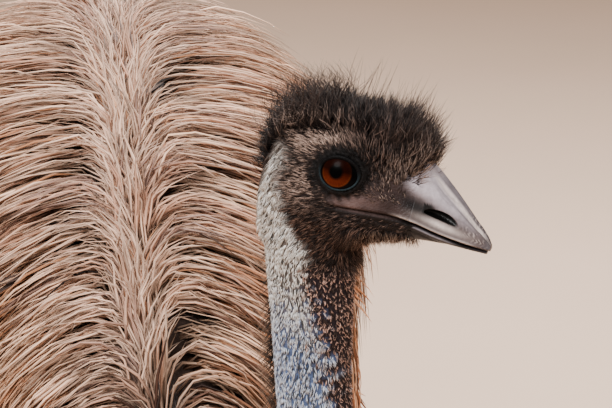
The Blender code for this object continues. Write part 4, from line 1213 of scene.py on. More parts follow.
# Coat: tufts as thin tapered blades of three sides
def tuftMesh(name, lines, sides, wides, thick, tints, roots, finish):
    # lines and sides are tufts by rings by xyz; tints are tufts by rings by rgb; roots the map places
    count, rings = lines.shape[:2]
    body = rings - 1
    ahead = np.empty_like(lines)
    ahead[:, :-1] = lines[:, 1:] - lines[:, :-1]
    ahead[:, -1] = ahead[:, -2]
    ahead = unit(ahead)
    across = unit(sides - ahead * (sides * ahead).sum(axis=2, keepdims=True))
    outward = np.cross(across, ahead)
    half = wides[:, :, None] / 2
    corners = np.empty((count, body, 3, 3))
    corners[:, :, 0] = lines[:, :-1] - (across * half)[:, :-1]
    corners[:, :, 1] = lines[:, :-1] + (outward * thick[:, :, None])[:, :-1]
    corners[:, :, 2] = lines[:, :-1] + (across * half)[:, :-1]
    per = body * 3 + 1
    points = np.concatenate([corners.reshape(count, body * 3, 3), lines[:, -1:]], axis=1).reshape(-1, 3)
    pattern = [(2, 1, 0)]
    for r in range(body - 1):
        for k in range(3):
            a, b = r * 3 + k, r * 3 + (k + 1) % 3
            pattern += [(a, b, b + 3), (a, b + 3, a + 3)]
    last, tip = (body - 1) * 3, body * 3
    pattern += [(last + k, last + (k + 1) % 3, tip) for k in range(3)]
    pattern = np.array(pattern)
    faces = (np.arange(count)[:, None, None] * per + pattern[None]).reshape(-1, 3)
    mesh = bpy.data.meshes.new(name)
    mesh.vertices.add(len(points))
    mesh.vertices.foreach_set("co", points.ravel())
    mesh.loops.add(faces.size)
    mesh.loops.foreach_set("vertex_index", faces.ravel().astype(np.int32))
    mesh.polygons.add(len(faces))
    mesh.polygons.foreach_set("loop_start", np.arange(0, faces.size, 3, dtype=np.int32))
    mesh.update(calc_edges=True)
    mesh.shade_smooth()
    mesh.materials.append(finishes[finish])
    made = bpy.data.objects.new(name, mesh)
    bpy.context.scene.collection.objects.link(made)
    tint = np.concatenate([np.repeat(tints[:, :-1], 3, axis=1), tints[:, -1:]], axis=1)
    setTint(made, tint.reshape(-1, 3))
    # Each tuft is a small patch at its root's place on the unwrapped skin
    patch = 0.003
    u = np.tile(np.array([0.0, 0.5, 1.0]), body).tolist() + [0.5]
    v = np.repeat(np.arange(body) / (rings - 1), 3).tolist() + [1.0]
    small = np.stack([np.array(u) - 0.5, np.array(v) - 0.5], axis=1) * patch
    baked = (roots[:, None] + small[None]).reshape(-1, 2)
    lie = np.stack([
        (np.array(u)[None] + roots[:, :1] * 911.0).ravel(), (np.array(v)[None] + roots[:, 1:] * 577.0).ravel()
    ], axis=1)
    for label, values in (("OFBake", baked), ("lie", lie)):
        layer = mesh.uv_layers.new(name=label)
        layer.data.foreach_set("uv", values[faces.ravel()].astype(np.float32).ravel())
    print("emu:", name, count, "tufts,", len(faces), "triangles")
    return made


def spreadOver(values):
    # Fits map places into the square, clear of its edges
    low, high = values.min(axis=0), values.max(axis=0)
    return 0.01 + 0.98 * (values - low) / np.maximum(high - low, 1e-6)


# Body plumage: guides combed over the body, each with a bundle of plumes that close towards its tip
plumage = {
    "seed": 11, "apart": 0.0138, "steps": 16, "from": 0.06, "to": 8.9, "spread": 0.0088, "close": 0.82,
    "partingApart": 0.0055, "partingFrom": 0.35, "partingTo": 6.6, "partingReach": 0.012,
    "long": ((0.0, 0.240), (1.2, 0.225), (2.5, 0.190), (4.5, 0.165), (6.0, 0.130), (7.2, 0.095), (8.2, 0.058), (8.9, 0.040)),
    "rise": (0.30, 1.0), "fall": ((0.10, 1.0, 0.0), (0.80, 0.42, -1.0)), "arcReach": 0.060,
    "forward": ((-0.05, 0.25), (0.22, 1.0)), "underTail": 170,
    "droop": (0.0, 0.0, -0.13), "free": ((85, 110), (0.06, -0.25)), "emerge": 0.55,
    "light": paint(254, 207, 172), "warm": paint(217, 149, 105), "brown": paint(114, 68, 44),
    # root is painted shade: the dark colour laid at the plumes' roots, under the coat
    "dusk": paint(44, 30, 26), "ash": paint(208, 176, 162), "root": paint(58, 41, 34),
    "neck": paint(38, 28, 25),
    "uneven": 0.14, "wave": 0.0032, "tipDark": 0.72, "rootShade": 0.6, "stops": (0.0, 0.20, 0.44, 0.70, 1.0),
    "kinds": {
        # plumes to a guide, rings, width
        "backPlumes": (8, 6, 0.0028), "partingPlumes": (8, 6, 0.0025), "flankPlumes": (3, 6, 0.0050),
        "bellyPlumes": (2, 6, 0.0060), "tailPlumes": (4, 6, 0.0050), "neckRuff": (2, 5, 0.0026),
    },
}


def combGuide(tree, root, long, rise, sink, steps, aside, freeAt):
    # The middle line and sides of a guide, from the skin to its free tip
    at, out, _, _ = tree.find_nearest(root)
    step = long / steps
    droop = Vector(plumage["droop"])
    free = False
    line, sides = [], []
    for i in range(steps + 1):
        if free:
            way = (way + droop).normalized()
            point = point + way * step
            side = (side - way * side.dot(way)).normalized()
        else:
            apart = at.x - float(np.interp(at.y, *midLine))
            share = float(ramp(0.0, plumage["arcReach"], abs(apart)))
            way = Vector([early + (late - early) * share for early, late in zip(*plumage["fall"])])
            way.x = way.x * math.copysign(1.0, apart) + aside
            way.y *= 1 - share * (1 - float(np.interp(at.y, *plumage["forward"])))
            way = (way - out * way.dot(out)).normalized()
            side = way.cross(out)
            point = at + out * ((rise + sink) * (i / steps) ** plumage["emerge"] - sink)
            at, out, _, _ = tree.find_nearest(at + way * step)
            free = i > 1 and out.z < freeAt
        line.append(tuple(point))
        sides.append(tuple(side))
    return line, sides


def guideSeeds(draw):
    # Places along and round the body, with denser ones on both sides of the back's parting
    seeds = []
    u = plumage["from"]
    while u < plumage["to"]:
        row = smoothRows(trunkRows, u)[0]
        girth = math.pi * (2 * row[3] + row[4] + row[5]) / 2 + math.pi * row[7]
        apart = plumage["apart"] * float(np.interp(u, (5.5, 7.0), (1.0, 0.55)))
        count = max(int(girth / apart * float(ramp(9.2, 7.4, u))), 3)
        for k in range(count):
            turn = 2 * math.pi * (k + draw.uniform(0, 1)) / count - math.pi
            seeds.append((u + draw.uniform(-0.06, 0.06), turn, 0.0))
        stretch = np.linalg.norm(smoothRows(trunkRows, u + 0.02)[0, :3] - row[:3]) / 0.02
        u += apart / max(stretch, 0.01)
    u = plumage["partingFrom"]
    while u < plumage["partingTo"]:
        row = smoothRows(trunkRows, u)[0]
        for sign in (1, -1):
            across = draw.uniform(0.0, plumage["partingReach"])
            seeds.append((u, sign * across / (row[3] + row[7] * 0.5), 1.0))
        stretch = np.linalg.norm(smoothRows(trunkRows, u + 0.02)[0, :3] - row[:3]) / 0.02
        u += plumage["partingApart"] / stretch
    for k in range(plumage["underTail"]):
        turn = math.radians(draw.uniform(118, 180)) * (1 if k % 2 else -1)
        seeds.append((draw.uniform(0.2, 2.0), turn, 0.0))
    return np.array(seeds)


def bodyGuides():
    draw = np.random.default_rng(plumage["seed"])
    sides = 64
    angle = 2 * math.pi * np.arange(sides) / sides
    core = loft("core", [trunkPoints(np.full(sides, u), angle, 0.5) for u in np.linspace(0.0, 9.2, 150)])
    tree = treeOf(core)
    bpy.data.objects.remove(core)
    seeds = guideSeeds(draw)
    place, turn, parting = np.clip(seeds[:, 0], 0.01, 9.0), seeds[:, 1], seeds[:, 2] > 0.5
    roots = trunkPoints(place, turn, 0.5)
    deep = smoothRows(trunkRows, place)[:, 7]
    long = np.interp(place, *zip(*plumage["long"])) * draw.uniform(0.72, 1.08, len(place))
    under = ramp(100, 150, np.degrees(np.abs(turn)))
    beside = (
        np.exp(-((np.degrees(np.abs(turn)) - 78) / 22) ** 2) * ramp(1.6, 2.6, place) * ramp(6.2, 5.2, place)
    )
    long *= (1.0 - 0.35 * under * (place < 7)) * np.where(parting, 0.62, 1.0) * (1 + 0.45 * beside)
    rise = draw.uniform(*plumage["rise"], len(place))
    rise = deep * 0.5 * (rise + (1.15 - rise) * 0.65 * beside)
    lines, ways = [], []
    for i in range(len(place)):
        aside = draw.normal(0, plumage["uneven"])
        freeAt = float(np.interp(math.degrees(abs(turn[i])), *plumage["free"]))
        line, side = combGuide(
            tree, Vector(roots[i]), long[i], rise[i], deep[i] * 0.5 + 0.003, plumage["steps"], aside, freeAt
        )
        lines.append(line)
        ways.append(side)
    return place, turn, parting, np.array(lines), np.array(ways), draw


def fromStops(pick, stops):
    # Dusky, brown, warm and light plumes by a number from 0 to 1
    shades = np.array([plumage[name] for name in ("dusk", "brown", "warm", "light", "light")])[:len(stops)]
    return np.stack([np.interp(pick, stops, shades[:, c]) for c in range(3)], axis=1)


def withRootShade(colour, t):
    # Painted shade: dark roots under the coat's own colour, along each tuft
    root = plumage["root"] * plumage["rootShade"]
    return root + (colour[:, None] - root) * ramp(0.0, 0.5, t)[None, :, None]


def guideColours(place, turn, roots, draw):
    # Light, warm, brown and dusky plumes in drifts, greyer along the parting, darker at the neck's foot; lighter
    # towards the rump and darker down the sides and beside the neck, partly own colour and partly painted light and
    # shade
    count = len(place)
    drift = (
        np.sin(roots[:, 0] * 37 + roots[:, 1] * 23 + 1.7) + np.sin(roots[:, 1] * 51 - roots[:, 2] * 29)
        + np.sin(roots[:, 2] * 63 + roots[:, 0] * 31 + 0.6)
    ) / 3
    # Lighter towards the rump: partly own colour, partly painted light on the back's top
    pick = 0.68 + 0.24 * ramp(4.2, 1.8, place) + 0.20 * drift + draw.normal(0, 0.26, count)
    near = np.exp(-(np.degrees(turn) / 20.0) ** 2)
    round_ = np.degrees(np.abs(turn))
    # Painted shade laid in with own colour: darker beside the neck, more so on the bird's left side, and darker down
    # the sides
    oneSideShade = 0.70 + 0.55 * ramp(-5, 32, np.degrees(turn))
    low = oneSideShade * 0.80 * ramp(15, 48, round_) * ramp(1.9, 4.4, place) + 0.30 * ramp(50, 110, round_)
    pick = np.clip(pick - 0.42 * low, 0, 1)
    colour = fromStops(pick, plumage["stops"])
    colour += (plumage["ash"] - colour) * (0.45 * near)[:, None]
    colour *= (1 - 0.30 * low)[:, None]
    foot = ramp(5.9, 7.3, place)
    colour += (plumage["neck"] - colour) * (0.85 * foot * draw.uniform(0.55, 1.0, count))[:, None]
    return colour


def plumeTaper(t):
    return (0.45 + 0.55 * np.sin(np.pi * (0.18 + 0.50 * t)) ** 0.8) * (1 - t ** 3.2) + 0.02


def plumeSet(name, place, turn, lines, ways, colours, draw):
    # The bundles of one part of the body
    children, rings, wide = plumage["kinds"][name]
    steps = lines.shape[1]
    count = len(place) * children
    mother = np.repeat(np.arange(len(place)), children)
    guides = len(lines)
    lines, ways, place, turn, colour = (part[mother] for part in (lines, ways, place, turn, colours))
    t = np.linspace(0, 1, rings)
    at = draw.uniform(0.66, 1.0, count)[:, None] * t[None] * (steps - 1)
    low = np.minimum(at.astype(int), steps - 2)
    share = (at - low)[:, :, None]
    rows = np.arange(count)[:, None]
    line = lines[rows, low] * (1 - share) + lines[rows, low + 1] * share
    side = unit(ways[rows, low] * (1 - share) + ways[rows, low + 1] * share)
    ahead = np.empty_like(line)
    ahead[:, :-1] = line[:, 1:] - line[:, :-1]
    ahead[:, -1] = ahead[:, -2]
    out = np.cross(side, unit(ahead))
    size = np.interp(place, (5.5, 8.0), (1.0, 0.45)) * plumage["spread"]
    sideways = draw.normal(0, 0.62, count) * size
    forward = draw.uniform(-1, 1, count) * size
    lift = draw.normal(0, 1.0, count)
    high = lift * 0.0036 * np.interp(place, (5.5, 8.0), (1.0, 0.3))
    closing = 1 - plumage["close"] * ramp(0.15, 1.0, t)[None] * draw.uniform(0.4, 1.2, count)[:, None]
    bend = draw.normal(0, 0.006, count)[:, None] * (t[None] ** 2)
    wave = 0.0012 * np.sin(t[None] * draw.uniform(5, 11, count)[:, None] + draw.uniform(0, 6, count)[:, None])
    pace, phase = draw.uniform(5, 9, (2, guides))[:, mother]
    wave = (
        wave + plumage["wave"] * ramp(0.2, 1, t)[None] * np.sin(t[None] * pace[:, None] + 9 * phase[:, None])
    )
    rootWay = unit(line[:, 2] - line[:, 0])
    line = line + side * (sideways[:, None] * closing + bend + wave)[:, :, None]
    line = line + rootWay[:, None] * forward[:, None, None]
    line = line + out * (high[:, None] * ramp(0.05, 0.4, t)[None])[:, :, None]
    wides = wide * draw.uniform(0.6, 1.3, count)[:, None] * plumeTaper(t)[None]
    side = unit(side + out * draw.normal(0, 0.30, count)[:, None, None])
    other = draw.uniform(0, 1, count) < 0.16
    colour[other] = colour[draw.permutation(count)][other]
    # Painted light and shade: plumes lifted higher are made lighter and lower ones darker, on top of a random tone
    colour = colour * (draw.uniform(0.82, 1.15, count) * np.interp(lift, (-1.3, 0.0, 1.2), (0.42, 0.88, 1.12)))[:, None]
    # Painted shade: each plume is dark at its root, under the coat
    clearOfRootShade = ramp(0.0, 0.40, t)[None, :, None]
    tint = plumage["root"] * plumage["rootShade"] * (1 - clearOfRootShade) + colour[:, None] * clearOfRootShade
    tint = tint * (1 - plumage["tipDark"] * ramp(0.62, 0.98, t)[None, :, None] * draw.uniform(0.3, 1, count)[:, None, None])
    spots = spreadOver(np.stack([np.degrees(turn) / 360 + 0.5, place / 9], axis=1))
    made = []
    halves = {"Left": turn >= 0, "Right": turn < 0} if count * (6 * rings - 8) > 180000 else {"": turn > -9}
    for end, chosen in halves.items():
        made.append(tuftMesh(
            name + end, line[chosen], side[chosen], wides[chosen], wides[chosen] * 0.16, tint[chosen],
            spots[chosen], "plume",
        ))
    return made


def makePlumage():
    place, turn, parting, lines, ways, draw = bodyGuides()
    colours = guideColours(place, turn, lines[:, 0], draw)
    round_ = np.degrees(np.abs(turn))
    tail, neck = ((place < 1.4) | (place < 2.1) & (round_ > 118)) & ~parting, (place > 6.15) & ~parting
    rest = ~(tail | neck | parting)
    kinds = {
        "tailPlumes": tail, "neckRuff": neck, "partingPlumes": parting, "backPlumes": rest & (round_ < 62),
        "flankPlumes": rest & (round_ >= 62) & (round_ < 125), "bellyPlumes": rest & (round_ >= 125),
    }
    made = []
    for name, chosen in kinds.items():
        made += plumeSet(name, place[chosen], turn[chosen], lines[chosen], ways[chosen], colours[chosen], draw)
    return made


coats = makePlumage()


# Short coat: straight or curling hairs from points of the skin
def strandLines(roots, outs, ways, long, lift, lay, curl, rings, draw, free=None):
    # lift and lay are angles off the skin at root and tip, in degrees; free lets a way leave the skin
    count = len(roots)
    down = (ways * outs).sum(axis=1, keepdims=True)
    if free is not None:
        down = down * (1 - free[:, None])
    ways = unit(ways - outs * down)
    across = unit(np.cross(ways, outs) + 1e-6)
    over = np.cross(across, ways)
    t = np.linspace(0, 1, rings)
    line = np.empty((count, rings, 3))
    line[:, 0] = roots - outs * (0.00025 + 0.008 * long)[:, None]
    phase = draw.uniform(0, 2 * math.pi, count)
    speed = draw.uniform(4.0, 8.0, count)
    step = (long / (rings - 1))[:, None]
    for i in range(1, rings):
        angle = np.radians(lift + (lay - lift) * t[i - 1])
        spin = phase + speed * t[i]
        growing = curl * min(0.35 + t[i], 1.0)
        heading = ways * np.cos(angle)[:, None] + outs * np.sin(angle)[:, None]
        heading += across * (growing * np.sin(spin))[:, None] + over * (0.7 * growing * np.cos(spin))[:, None]
        line[:, i] = line[:, i - 1] + unit(heading) * step
    return line, np.repeat(across[:, None], rings, axis=1)


def bundled(line, sides, outs, children, spread, closing, draw):
    # Hairs round each guide that close towards its tip; gives which guide each belongs to
    mother = np.repeat(np.arange(len(line)), children)
    count, rings = len(mother), line.shape[1]
    t = np.linspace(0, 1, rings)
    side, out = sides[mother], outs[mother]
    away = draw.normal(0, 0.5, (count, 2)) * spread
    shift = side[:, 0] * away[:, :1] + np.cross(out, side[:, 0]) * away[:, 1:]
    root = line[mother][:, :1]
    grown = root + (line[mother] - root) * draw.uniform(0.72, 1.12, count)[:, None, None]
    hold = 1 - closing * ramp(0.1, 1.0, t)[None] * draw.uniform(0.5, 1.2, count)[:, None]
    long = np.linalg.norm(grown[:, -1] - grown[:, 0], axis=1)
    stray = side * (draw.normal(0, 0.10, count) * long)[:, None, None] * (t ** 2)[None, :, None]
    return grown + shift[:, None] * hold[:, :, None] + stray, side, mother


def scatter(mesh, want, draw):
    # Points on the skin, with their outward ways; want gives tufts per square metre at each of its points
    mesh.calc_loop_triangles()
    corners = np.empty(len(mesh.loop_triangles) * 3, int)
    mesh.loop_triangles.foreach_get("vertices", corners)
    corners = corners.reshape(-1, 3)
    points = readPoints(mesh)
    normals = np.empty(len(mesh.vertices) * 3)
    mesh.vertices.foreach_get("normal", normals)
    normals = normals.reshape(-1, 3)
    a, b, c = points[corners[:, 0]], points[corners[:, 1]], points[corners[:, 2]]
    area = np.linalg.norm(np.cross(b - a, c - a), axis=1) / 2
    amount = area * want[corners].mean(axis=1)
    copies = np.floor(amount + draw.uniform(0, 1, len(amount))).astype(int)
    chosen = np.repeat(np.arange(len(amount)), copies)
    first, second = draw.uniform(0, 1, len(chosen)), draw.uniform(0, 1, len(chosen))
    fold = first + second > 1
    first[fold], second[fold] = 1 - first[fold], 1 - second[fold]
    weights = np.stack([first, second, 1 - first - second], axis=1)[:, :, None]
    at = (points[corners[chosen]] * weights).sum(axis=1)
    return at, unit((normals[corners[chosen]] * weights).sum(axis=1))


headCoat = {
    "seed": 23,
    "kinds": {
        # clumps to a square metre, hairs to a clump, rings, width, spread, closing
        "crownHair": (0.26e6, 5, 4, 0.00040, 0.0022, 0.36),
        "faceHair": (0.48e6, 4, 3, 0.00038, 0.0014, 0.22),
        "neckBand": (0.205e6, 3, 3, 0.00077, 0.0016, 0.30),
        "neckCurls": (0.185e6, 3, 4, 0.00078, 0.0014, 0.60),
    },
    # how far the hair stands over the skull's top, by place from back to front
    "crownLong": (
        (-0.055, 0.013), (-0.043, 0.019), (-0.025, 0.018), (-0.005, 0.017), (0.012, 0.021), (0.028, 0.028),
        (0.040, 0.030), (0.050, 0.024),
    ),
    "crownAim": (
        (-0.050, -0.85, 0.5), (-0.030, -0.45, 0.9), (-0.010, -0.22, 1.0), (0.012, -0.05, 1.0),
        (0.030, 0.08, 1.0), (0.046, 0.20, 1.0),
    ),
    "topZone": (0.015, 0.007), "alone": 0.65,
    "hairLine": ((-0.0225, 0.008), (-0.0085, 0.031), (0.005, 0.043), (0.0120, 0.0540), (0.018, 0.0570)),
}


def coatShares(points, place, shares):
    # Where the crown's long hair, the face's short hair, the pale band and the dark curls grow
    local = toHead(points)
    x, z = local[:, 0], local[:, 2]
    onHead = ramp(-0.074, -0.052, z) * (place > 10.0)
    hairLine = np.interp(z, *zip(*headCoat["hairLine"]))
    head = ramp(hairLine + 0.003, hairLine - 0.004, x)
    strip = ramp(-0.0250, -0.0238, z) * ramp(-0.0085, -0.0115, z) * ramp(-0.010, 0.000, x)
    head = head * (1 - 0.90 * strip)
    below = ramp(-0.0236, -0.0256, z) * ramp(0.0515, 0.046, x) * (x > 0.0)
    head = np.maximum(head, 0.9 * below)
    lore = ramp(0.020, 0.030, x) * ramp(0.008, 0.000, z) * ramp(-0.016, -0.010, z) * ramp(0.048, 0.040, x)
    head = np.maximum(head * (1 - 0.35 * ramp(0.018, 0.026, x) * ramp(0.004, -0.002, z)), 0.24 * lore)
    for side in (1, -1):
        reach, _ = lidReach(local, side)
        head = head * ramp(1.25, 1.55, reach)
    top, = rowsAt(headForm["skull"], x)[:1]
    crown = ramp(*headCoat["topZone"], top - z) > 0.5
    neck = np.interp(place, (7.6, 8.4, 10.3, 10.8), (0.0, 0.35, 0.45, 1.0)) * (1 - onHead) * (points[:, 2] > 0.70)
    pale = np.clip(shares["pale"] + shares["blue"], 0, 1) > 0.5
    bandOnHead = onHead * pale
    return {
        "crownHair": head * onHead * crown, "faceHair": head * onHead * ~crown * ~pale,
        "neckBand": neck * pale + bandOnHead, "neckCurls": neck * ~pale,
    }


def headWays(local):
    # Which way the coat lies at places of the head: back from the face, up over the brow, down the nape
    x, z = local[:, 0], local[:, 2]
    sign = np.where(local[:, 1] >= 0, 1.0, -1.0)

    def lean(way, ways, share):
        goal = np.stack([np.full(len(x), way[0]), way[1] * sign, np.full(len(x), way[2])], axis=1)
        return ways + (goal - ways) * share[:, None]

    ways = np.zeros((len(x), 3))
    ways = lean((-1.0, 0.05, -0.12), ways, np.ones(len(x)))
    ways = lean((-0.75, 0.0, -0.60), ways, ramp(-0.016, -0.036, z))
    ways = lean((-0.9, 0.0, -0.40), ways, ramp(-0.030, -0.040, z) * ramp(0.0, 0.02, x))
    ways = lean((-1.0, 0.1, 0.18), ways, ramp(0.002, 0.010, z) * ramp(-0.004, -0.014, x))
    ways = lean((-0.62, 0.05, 0.85), ways, ramp(0.006, 0.014, z) * ramp(-0.024, -0.006, x))
    ways = lean((-0.05, 0.0, 1.0), ways, ramp(-0.010, 0.006, z) * ramp(0.006, 0.018, x))
    ways = lean((-0.10, 0.0, 1.0), ways, ramp(-0.015, -0.004, z) * ramp(0.020, 0.030, x))
    ways = lean((0.14, 0.1, 1.0), ways, ramp(0.000, 0.010, z) * ramp(0.036, 0.048, x))
    ways = lean((-0.50, 0.0, -1.0), ways, ramp(-0.031, -0.036, z) * ramp(0.004, 0.012, x))
    ways = lean((-0.35, 0.3, -1.0), ways, ramp(-0.036, -0.048, x) * ramp(0.024, 0.010, z))
    return ways


def crownStrands(local, count, draw):
    # Aim, length, lift and curl of the crown's standing hair
    x = local[:, 0]
    spots, aimX, aimZ = zip(*headCoat["crownAim"])
    sideways = 0.35 * local[:, 1] / 0.03
    ways = np.stack([np.interp(x, spots, aimX), sideways, np.interp(x, spots, aimZ)], axis=1)
    ways = ways + draw.normal(0, 0.20, (count, 3))
    long = np.interp(x, *zip(*headCoat["crownLong"])) * draw.uniform(0.70, 1.12, count)
    behind = ramp(-0.008, -0.030, x)
    curl = 0.35 + 0.95 * behind
    return ways, long * (1 + 0.35 * behind), np.full(count, 12.0), np.full(count, 4.0), curl, np.ones(count)


def faceStrands(local, count, draw):
    x, z = local[:, 0], local[:, 2]
    top, = rowsAt(headForm["skull"], x)[:1]
    ways = headWays(local) + draw.normal(0, 0.15, (count, 3))
    fore = ramp(-0.004, 0.014, x) * ramp(0.000, 0.012, z)
    high = ramp(0.026, 0.008, top - z)
    occiput = ramp(-0.028, -0.042, x) * ramp(0.004, 0.016, z)
    long = 0.0074 + 0.0030 * fore + 0.0075 * high * ramp(-0.02, 0.01, x) + 0.0075 * occiput
    long = long * (1 - 0.50 * ramp(0.004, -0.004, z) * ramp(0.016, 0.026, x))
    long = long * (1 - 0.40 * ramp(2.6, 1.5, np.minimum(lidReach(local, 1)[0], lidReach(local, -1)[0])))
    chin = ramp(-0.0305, -0.0350, z) * ramp(0.002, 0.012, x)
    long = (long + 0.0040 * chin) * draw.uniform(0.75, 1.2, count)
    lift = 25 + 8 * fore + 10 * occiput + 25 * chin + draw.normal(0, 6, count)
    lay = -9 + 20 * fore * high + 45 * chin + draw.normal(0, 6, count)
    return ways, long, lift, lay, 0.12 + 0.9 * occiput, np.zeros(count)


def neckStrands(along, count, curly, draw):
    ways = -along + draw.normal(0, 0.20 + 0.22 * curly, (count, 3))
    long = draw.uniform(0.0036, 0.0056, count) * (1.0 - 0.28 * curly)
    lift = 20 + 14 * curly + draw.normal(0, 6, count)
    lay = 2 + 20 * curly + draw.normal(0, 8, count)
    return ways, long, lift, lay, np.full(count, 0.10 + 0.50 * curly), np.zeros(count)


def makeHeadCoat():
    draw = np.random.default_rng(headCoat["seed"])
    skinPoints = readPoints(skin.data)
    skinPlace, _ = trunkCoords(skinPoints)
    wanted = coatShares(skinPoints, skinPlace, markings(skinPoints))
    made = []
    for name, (density, children, rings, wide, spread, closing) in headCoat["kinds"].items():
        roots, outs = scatter(skin.data, wanted[name] * density, draw)
        count = len(roots)
        local = toHead(roots)
        place, angle = trunkCoords(roots)
        shares = markings(roots)
        _, along, _, _ = trunkFrame(place)
        if name == "crownHair":
            ways, long, lift, lay, curl, free = crownStrands(local, count, draw)
        elif name == "faceHair":
            ways, long, lift, lay, curl, free = faceStrands(local, count, draw)
        else:
            onHead = (ramp(-0.074, -0.052, local[:, 2]) * (place > 10.0))[:, None]
            ways, long, lift, lay, curl, free = neckStrands(along, count, name == "neckCurls", draw)
            down = np.array([[-0.35, 0.0, -1.0]]) @ headAxes
            ways = ways + (down + draw.normal(0, 0.2, (count, 3)) - ways) * onHead
            long = long * (1 + 0.45 * onHead[:, 0])
        if name in ("crownHair", "faceHair"):
            ways = ways @ headAxes
        line, sides = strandLines(roots, outs, ways, long, lift, lay, curl, rings, draw, free)
        line, sides, mother = bundled(line, sides, outs, children, spread, closing, draw)
        count = len(line)
        t = np.linspace(0, 1, rings)
        wides = (wide * draw.uniform(0.7, 1.3, count))[:, None] * (1 - 0.75 * t[None] ** 2)
        base, tip = mixed(shares, 1)[mother], mixed(shares, 2)[mother]
        lightness = lightShare(shares)
        alone = draw.uniform(0, 1, count) < headCoat["alone"]
        lit = np.where(alone, draw.uniform(0, 1, count), draw.uniform(0, 1, len(roots))[mother]) < lightness[mother]
        pale = np.clip(shares["pale"] + shares["blue"], 0, 1)[mother]
        tone = np.where(lit, draw.uniform(0.50, 1.05, count), draw.uniform(0.0, 0.10, count))
        base = base * np.where(lit, 1.0, 1 - 0.93 * pale)[:, None]
        tint = base[:, None] + (tip - base)[:, None] * (ramp(0.0, 0.75, t)[None] * tone[:, None])[:, :, None]
        tint = tint * (draw.uniform(0.85, 1.15, count) * (1 - 0.25 * pale * draw.uniform(0, 1, count) ** 2))[:, None, None]
        if name in ("crownHair", "faceHair"):
            around = np.arctan2(local[:, 1], local[:, 2] + 0.02) / (2 * math.pi) + 0.5
            spots = np.stack([around, (local[:, 0] + 0.06) / 0.12], axis=1)
        else:
            spots = np.stack([angle / (2 * math.pi) + 0.5, place / 12], axis=1)
        spots = spreadOver(spots[mother])
        onLeft = toHead(line[:, 0])[:, 1] >= 0
        halves = (
            {"Left": onLeft, "Right": ~onLeft} if count * (6 * rings - 8) > 190000 else {"": onLeft | ~onLeft}
        )
        for end, chosen in halves.items():
            made.append(tuftMesh(
                name + end, line[chosen], sides[chosen], wides[chosen], wides[chosen] * 0.4, tint[chosen],
                spots[chosen], "hair",
            ))
    return made


coats += makeHeadCoat()

longHair = {
    "seed": 31, "rings": 6, "crest": 820, "forelock": 420, "fringe": 300, "single": 46, "nape": 1100,
    "chin": 700, "lashes": 70,
    "wide": 0.00042, "dark": paint(20, 16, 17), "tip": paint(84, 66, 58), "light": paint(196, 158, 132),
    "singleLong": (0.032, 0.050),
}


def headRoots(x, degrees, sign):
    top, wide, _ = rowsAt(headForm["skull"], x)
    turn = np.radians(degrees) * sign
    return fromHead(np.stack([x, wide * np.sin(turn), top * np.cos(turn)], axis=1))


def onSkin(points):
    found = [skinTree.find_nearest(Vector(point)) for point in points]
    return np.array([f[0] for f in found]), np.array([f[1] for f in found])


